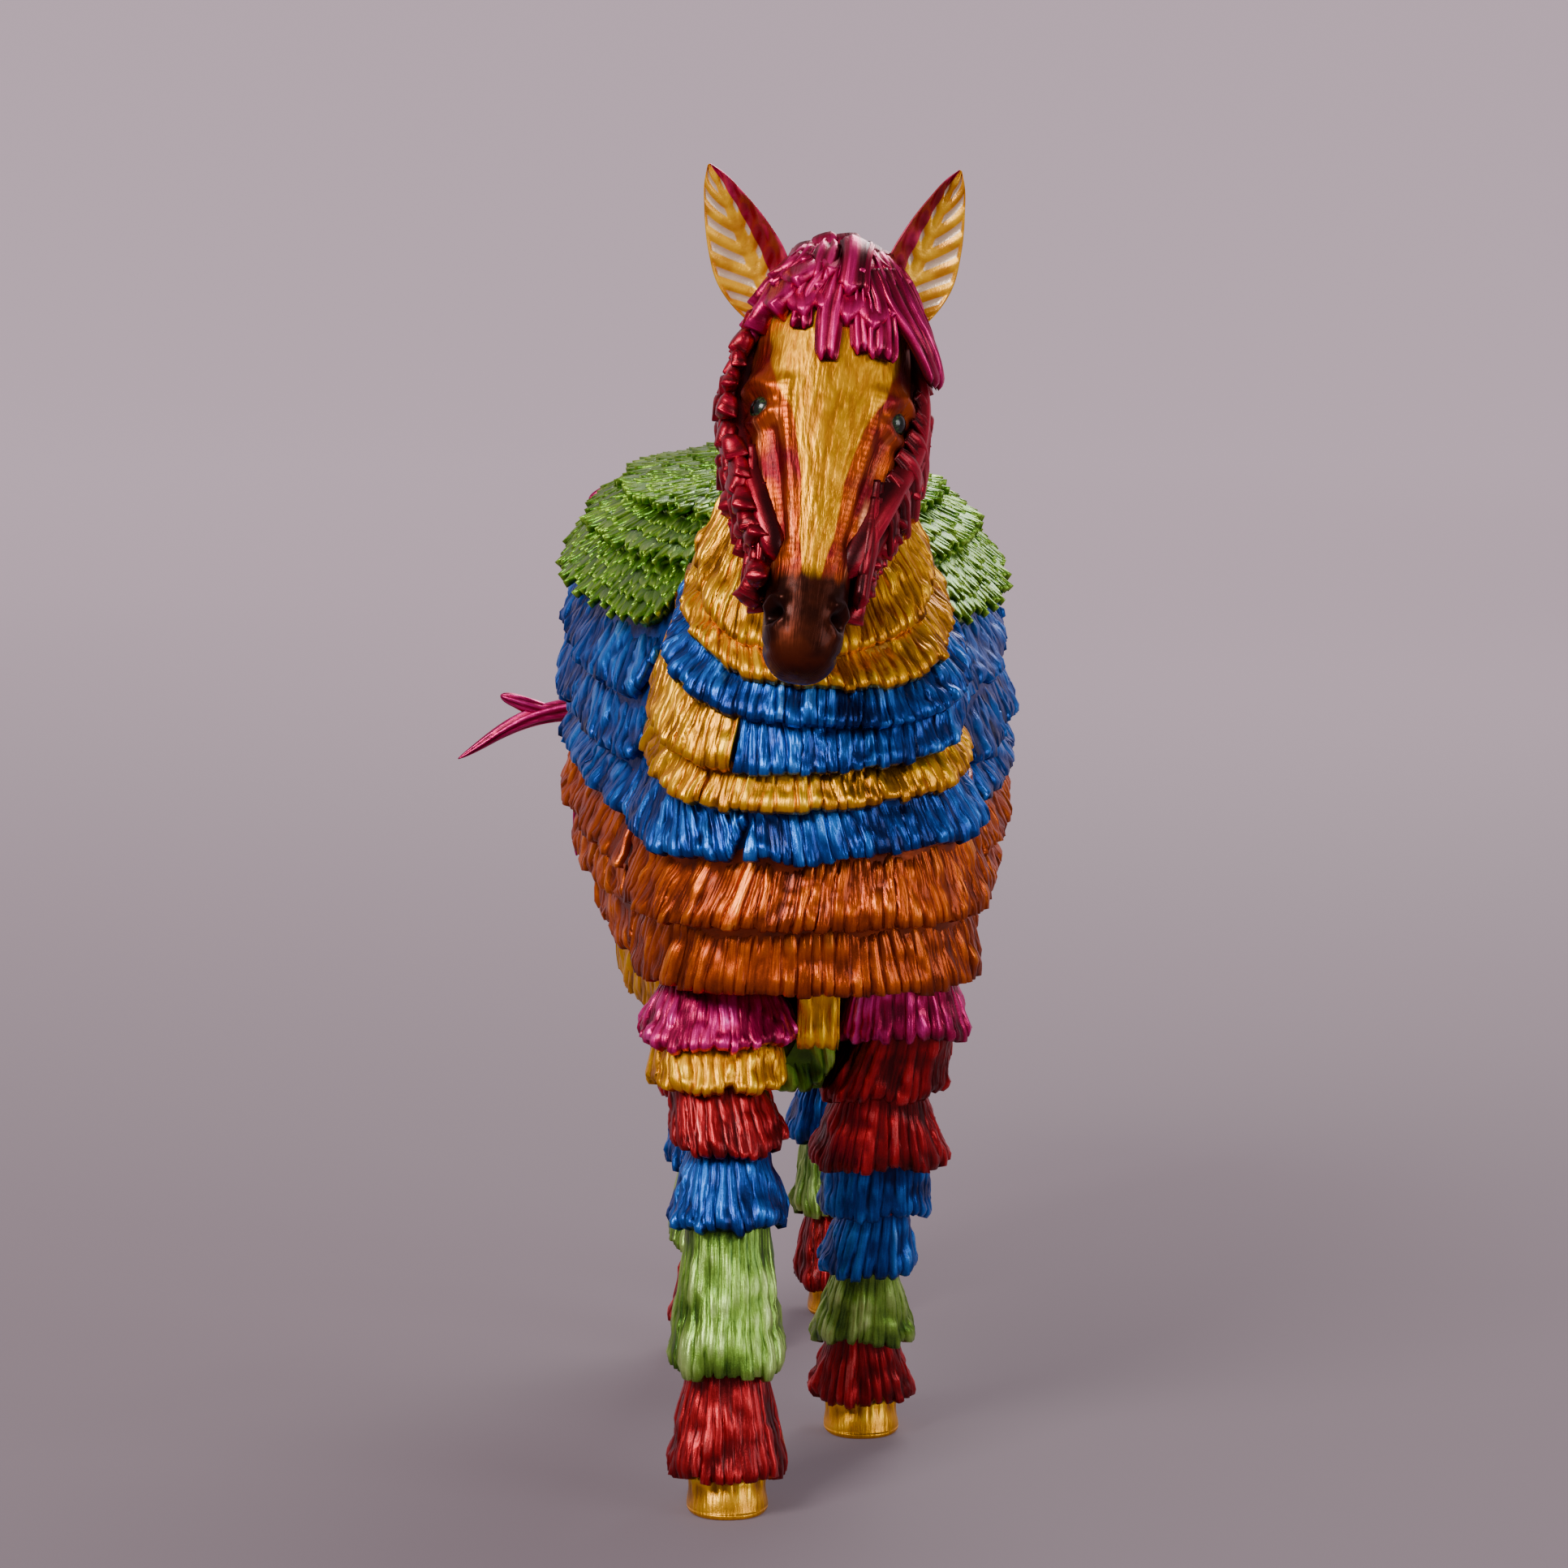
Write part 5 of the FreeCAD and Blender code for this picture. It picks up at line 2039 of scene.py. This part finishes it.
@dataclass
class Hoof:
    """A gilt hoof with a soft edge, faint rings and a cleft behind."""

    leg: str
    flare: float = 0.86  # its top's width as a share of its sole's
    edge: float = 0.5 * MM  # radius of the edge of the sole
    cleft: float = 0.7 * MM
    above: float = 0.9 * MM  # how far it goes up inside the fringe
    around: int = 96
    rows: int = 34

    def build(self) -> None:
        """Makes the hoof from its CAD node's box."""
        node = f"{self.leg}_hoof"
        low, high = (np.array(corner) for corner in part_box(node))
        middle, half = (low + high) / 2, (high - low) / 2
        height = high[2] - low[2] + self.above
        turn = np.linspace(0.0, math.pi / 2, 8)
        drop = np.concatenate([np.linspace(0.0, 1 - self.edge / height, self.rows), np.ones(8)])
        drop[-8:] = 1 - self.edge / height * (1 - np.sin(turn))
        inset = np.concatenate([np.zeros(self.rows), self.edge * (1 - np.cos(turn))])
        angle = all_round(self.around, -math.pi)
        drop, inset = drop[:, None], inset[:, None]
        widen = self.flare + (1 - self.flare) * drop**0.8
        lean = (1 - drop) * 0.28 * half[1]
        rings = 0.045 * MM * np.sin(drop * 11 + 2 * np.sin(angle * 2 + 1)) * (1 - eased(drop, 0.8, 1.0))
        hair = 0.09 * MM * np.cos(angle * 19 + 3 * np.sin(angle * 4)) * (1 - eased(drop, 0.3, 0.75))
        split = self.cleft * np.exp(-(((np.abs(angle) - math.pi) / 0.22) ** 2))
        crown = 0.18 * MM * np.exp(-(((drop - 0.28) / 0.1) ** 2)) * (0.6 + 0.4 * np.sin(angle * 5))
        extra = rings + hair - split + crown - inset
        wide = (half[0] * widen + extra) * bent(np.sin(angle), 0.9)
        deep = -(half[1] * widen + extra) * bent(np.cos(angle), 0.9)
        up = np.broadcast_to(high[2] + self.above - drop * height, wide.shape)
        points = np.stack([middle[0] + wide, middle[1] + deep + lean, up], axis=-1)
        ridge = np.clip(0.5 + (rings + hair + crown) / (0.3 * MM), 0, 1)
        lay = np.stack([np.broadcast_to(angle * 3 * MM, wide.shape), up, 0 * up], axis=-1)
        hoof = tube_object(f"{node}_horn", points, {"ridge": ridge, "lay": lay})
        face_outwards(hoof)
        hand_over(hoof, GILT, [node])


def along_route(route: Array, share: Array) -> Array:
    """The points of a smooth route at the stated shares of its length."""
    place = distances(route)
    return np.stack([spline(share * place[-1], place, route[:, k]) for k in range(3)], axis=1)


def lock(name: str, route: Array, radii: Sequence[float], twist: float) -> Piece:
    """A lock of putty hair: a tapered tube scored along its length.

    Args:
        name: The object's name.
        route: The points that it follows.
        radii: Its radius at its root, its middle and its tip.
        twist: How many turns the scores make.

    Returns:
        The lock, closed at both ends.
    """
    around, steps, scores, fine_scores = 40, 70, 7, 19
    share = np.linspace(0.0, 1.0, steps)
    line = along_route(route, share)
    tangent = unit(np.gradient(line, axis=0))
    first = unit(np.cross(tangent, (0.31, 0.17, 0.93)))
    second = np.cross(tangent, first)
    angle = all_round(around)
    radius = np.interp(share, (0.0, 0.5, 1.0), radii)[:, None]
    radius = radius * np.sqrt(np.clip(1 - share**8, 0.02, 1))[:, None]
    score = 0.5 + 0.5 * np.cos(scores * angle + twist * 2 * math.pi * share[:, None])
    fine = 0.5 + 0.5 * np.cos(fine_scores * angle - 2 * twist * math.pi * share[:, None])
    high = 0.7 * score**0.6 + 0.3 * fine
    reach = radius * (0.8 + 0.3 * high)
    ring = np.cos(angle)[..., None] * first[:, None] + np.sin(angle)[..., None] * second[:, None]
    points = line[:, None] + ring * reach[..., None]
    down = share[:, None] * distances(route)[-1]
    lay = np.stack(np.broadcast_arrays(angle * radius, down, 0.0), axis=-1)
    made = tube_object(name, points, {"ridge": high, "lay": lay})
    face_outwards(made)
    return made


@dataclass
class Mane:
    """The crest of short leaves from the withers to the poll."""

    node: str = "mane"
    columns: tuple[float, ...] = (-80, -45, -15, 15, 45, 80)
    steps: int = 19
    radii: Colour = (1.9 * MM, 2.0 * MM, 1.7 * MM)  # of the core, at its root, middle and tip
    leaf_length: float = 3.8 * MM
    leaf_width: float = 1.9 * MM

    def build(self, leaves: LeafTree) -> None:
        """Makes the crest's core and its leaves."""
        axis = CoreAxis(self.node)
        heights = np.linspace(axis.heights[0] + 1 * MM, axis.heights[-1] - 1 * MM, self.steps)
        line = np.array([axis.at(z) for z in heights])
        tangent = unit(np.gradient(line, axis=0))
        bed = LeafBed(seed=31, lift=0.25, turn=0.35)
        for number, (point, up) in enumerate(zip(line, tangent)):
            back = unit(np.cross(up, (1.0, 0.0, 0.0)))
            for degrees in self.columns:
                turn = math.radians(degrees + 12 * (number % 2))
                out = -back * math.cos(turn) + np.array((1.0, 0.0, 0.0)) * math.sin(turn)
                root = point + out * 0.9 * MM
                outward, fall = unit(out * 0.8 + up * 0.6), unit(out * 0.6 - up * 0.8)
                bed.add(root, outward, fall, self.leaf_length, self.leaf_width)
        laid = bed.grown(leaves, "mane_leaves", MAGENTA)
        core = lock("mane_core", line, self.radii, 0.4)
        core.data.materials.append(MAGENTA.material())
        hand_over(joined("mane_crest", [core, laid]), MAGENTA, [self.node])


@dataclass
class Tail:
    """The tail: a scored dock that is swished to the right, and the locks that leave it.

    The routes are in millimetres in the row frame, from the root to the tip.
    """

    dock: tuple[Colour, ...] = (
        (5.4, 34.2, 76.0),
        (5.3, 41.2, 79.5),
        (2.7, 46.7, 83.0),
        (-4.4, 49.7, 84.0),
        (-9.1, 50.2, 80.0),
        (-11.5, 50.2, 70.0),
        (-12.1, 49.7, 58.0),
    )
    locks: tuple[tuple[Colour, ...], ...] = (
        ((-6.9, 50.2, 82.0), (-9.9, 50.5, 83.2), (-12.8, 50.6, 82.6)),
        ((-12.1, 49.8, 61.0), (-19.1, 49.2, 59.8), (-26.7, 48.2, 55.6)),
        ((-17.0, 49.4, 60.2), (-19.6, 49.2, 61.2), (-22.2, 49.0, 62.2)),
        ((-11.9, 50.0, 58.4), (-13.3, 50.2, 51.0), (-14.3, 49.8, 45.0)),
        ((-11.3, 50.6, 58.4), (-9.3, 51.2, 49.0), (-6.9, 50.8, 41.0)),
    )
    radii: tuple[tuple[float, float, float], ...] = (
        (1.3, 1.2, 0.7),
        (1.3, 0.9, 0.35),
        (0.8, 0.8, 0.6),
        (1.6, 1.3, 0.5),
        (1.6, 1.3, 0.5),
    )

    def build(self, leaves: LeafTree) -> None:
        """Makes the dock with its leaves, and the locks."""
        route = np.array(self.dock) * MM
        core = lock("tail_dock", route, (1.8 * MM, 1.8 * MM, 1.6 * MM), 1.2)
        core.data.materials.append(MAGENTA.material())
        bed = LeafBed(seed=57, lift=0.12, turn=0.2)
        line = along_route(route, np.linspace(0.2, 0.98, 17))
        tangent = unit(np.gradient(line, axis=0))
        for number, (point, down) in enumerate(zip(line, tangent)):
            first = unit(np.cross(down, (0.3, 0.2, 0.93)))
            second = np.cross(down, first)
            for turn in np.arange(6) * math.pi / 3 + 0.5 * (number % 2):
                out = first * math.cos(turn) + second * math.sin(turn)
                bed.add(point + out * 1.5 * MM, out, down, 4.4 * MM, 1.9 * MM)
        laid = bed.grown(leaves, "tail_leaves", MAGENTA)
        hand_over(joined("tail_dock_hair", [core, laid]), MAGENTA, ["tail_core"])
        made = []
        for number, (points, radii) in enumerate(zip(self.locks, self.radii)):
            sizes = [radius * MM for radius in radii]
            made.append(lock(f"tail_lock_{number}", np.array(points) * MM, sizes, 0.8))
        hand_over(joined("tail_locks", made), MAGENTA, ["tail_fringe"])


# ---------------------------------------------------------------- the stage


@dataclass(frozen=True)
class Studio:
    """A pale floor, soft lamps and the camera."""

    eye: Colour = (-22.75, -447.9, 115.2)  # the camera's place, in millimetres
    yaw: float = -3.5
    pitch: float = -7.17
    lens: float = 109.0
    floor_colour: Colour = (0.115, 0.086, 0.1)
    glow_colour: Colour = (0.28, 0.215, 0.248)
    floor_glow: float = 0.35
    wall_glow: float = 1.95
    glow_rise: tuple[float, float] = (0.0, 1.1)  # how far back the glow rises, in metres
    middle: Colour = (0.0, 0.0, 0.06)  # what the lamps look at
    world_colour: Colour = (0.62, 0.60, 0.63)
    world_strength: float = 0.36

    def floor(self) -> None:
        """Lays a matt sweep that is floor in front and wall behind, and glows more at the back."""
        half, bend_at, radius = 4.0, 0.9, 0.8
        turn = np.linspace(0.0, math.pi / 2, 40)
        sweep = [(-half, 0.0)]
        sweep += [(bend_at + radius * math.sin(a), radius * (1 - math.cos(a))) for a in turn]
        sweep.append((bend_at + radius, half))
        corners = np.array([(x, y, z) for y, z in sweep for x in (-half, half)])
        faces = [(k, k + 1, k + 3, k + 2) for k in range(0, len(corners) - 2, 2)]
        made = mesh_object("floor", corners, faces)
        paint = bpy.data.materials.new("floor_paper")
        paint.use_nodes = True
        b = ShaderBuilder(paint.node_tree)
        place = b.add("ShaderNodeNewGeometry").outputs["Position"]
        away = b.add("ShaderNodeSeparateXYZ", {"Vector": place}).outputs["Y"]
        glow = b.remap(away, *self.glow_rise, self.floor_glow, self.wall_glow, "LINEAR")
        b.surface((*self.floor_colour, 1.0), 0.0, 0.9, [])
        b.feed(b.shader.inputs["Emission Color"], (*self.glow_colour, 1.0))
        b.feed(b.shader.inputs["Emission Strength"], glow)
        made.data.materials.append(paint)

    def lamp(self, name: str, at: Colour, size: float, power: float, colour: Colour) -> None:
        """Hangs one soft lamp that looks at the middle of the figure.

        Args:
            name: The lamp's name.
            at: Its place, in metres.
            size: The side of its square face, in metres.
            power: Its power, in watts.
            colour: Its light's colour.
        """
        light = bpy.data.lights.new(name, "AREA")
        light.shape, light.size, light.energy, light.color = "SQUARE", size, power, colour
        lamp = bpy.data.objects.new(name, light)
        lamp.location = at
        look = Vector(self.middle) - Vector(at)
        lamp.rotation_euler = look.to_track_quat("-Z", "Y").to_euler()
        bpy.context.scene.collection.objects.link(lamp)

    def camera(self) -> None:
        """Sets the camera."""
        data = bpy.data.cameras.new("camera")
        data.lens, data.sensor_width = self.lens, 36.0
        data.clip_start, data.clip_end = 0.01, 20.0
        camera = bpy.data.objects.new("camera", data)
        camera.location = [value * MM for value in self.eye]
        camera.rotation_euler = (math.radians(90 + self.pitch), 0.0, math.radians(self.yaw))
        bpy.context.scene.collection.objects.link(camera)
        bpy.context.scene.camera = camera

    def build(self) -> None:
        """Sets up the whole stage."""
        self.floor()
        self.camera()
        self.lamp("key", (-0.42, -0.55, 0.62), 0.34, 7.4, (1.0, 0.98, 0.96))
        self.lamp("fill", (0.62, -0.5, 0.30), 0.42, 2.4, (0.96, 0.97, 1.0))
        self.lamp("back", (0.25, 0.62, 0.55), 0.40, 5.0, (1.0, 0.97, 0.98))
        world = bpy.data.worlds.new("world")
        world.use_nodes = True
        background = world.node_tree.nodes["Background"]
        background.inputs["Color"].default_value = (*self.world_colour, 1.0)
        background.inputs["Strength"].default_value = self.world_strength
        bpy.context.scene.world = world


def paint_bare_nodes() -> None:
    """Paints the CAD nodes that are seen as they are."""
    finishes: dict[str, Finish] = {f"{leg}_leg_core": LEG_UNDERCOAT for leg in LEGS}
    finishes |= dict.fromkeys(("body_shell_left", "body_shell_right"), BODY_UNDERCOAT)
    finishes["neck_core"] = NECK_UNDERCOAT
    finishes |= dict.fromkeys(("leg_pins", "neck_pin"), STEEL)
    for node, finish in finishes.items():
        for material_slot in frame["nodes"][node].material_slots:
            material_slot.material = finish.material()


def main() -> None:
    """Builds every piece, in order, and sets the stage."""
    logging.basicConfig(level=logging.INFO, format="%(message)s")
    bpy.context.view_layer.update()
    pleater = PleatTree()
    body_fringe().build(pleater)
    neck_fringe().build(pleater)
    for number, leg in enumerate(LEGS):
        leg_fringe(leg, LEG_SEED + NEXT_LEG * number).build(pleater)
        Hoof(leg).build()
    leaves = LeafTree()
    GreenBack().build(pleater, leaves)
    form = HeadForm()
    Head(form).build()
    left, right = cheek_courses(Side.LEFT, 98, 132, 4), cheek_courses(Side.RIGHT, 82, 132, 5)
    forelock_bed = LeafBed(seed=11, thickness=0.4, crease=0.2, point=0.16)
    lump = {"thickness": 0.5, "curl": -0.1, "crease": 0.16, "turn": 0.6, "lift": 0.4, "point": 0.25}
    left_bed, right_bed = (LeafBed(**lump, seed=seed) for seed in (12, 13))
    for node, paint, courses, straps, bed in (
        ("forelock", CERISE, FORELOCK_COURSES, FORELOCK_STRAPS, forelock_bed),
        ("cheek_fringe_left", WINE, left, LEFT_CHEEK_STRAPS, left_bed),
        ("cheek_fringe_right", WINE, right, RIGHT_CHEEK_STRAPS, right_bed),
    ):
        HeadHair(form, node, paint, courses, straps, bed).build(leaves)
    for side in Side:
        Ear(side).build()
    Mane().build(leaves)
    Tail().build(leaves)
    paint_bare_nodes()
    Studio().build()


if __name__ == "__main__":
    main()
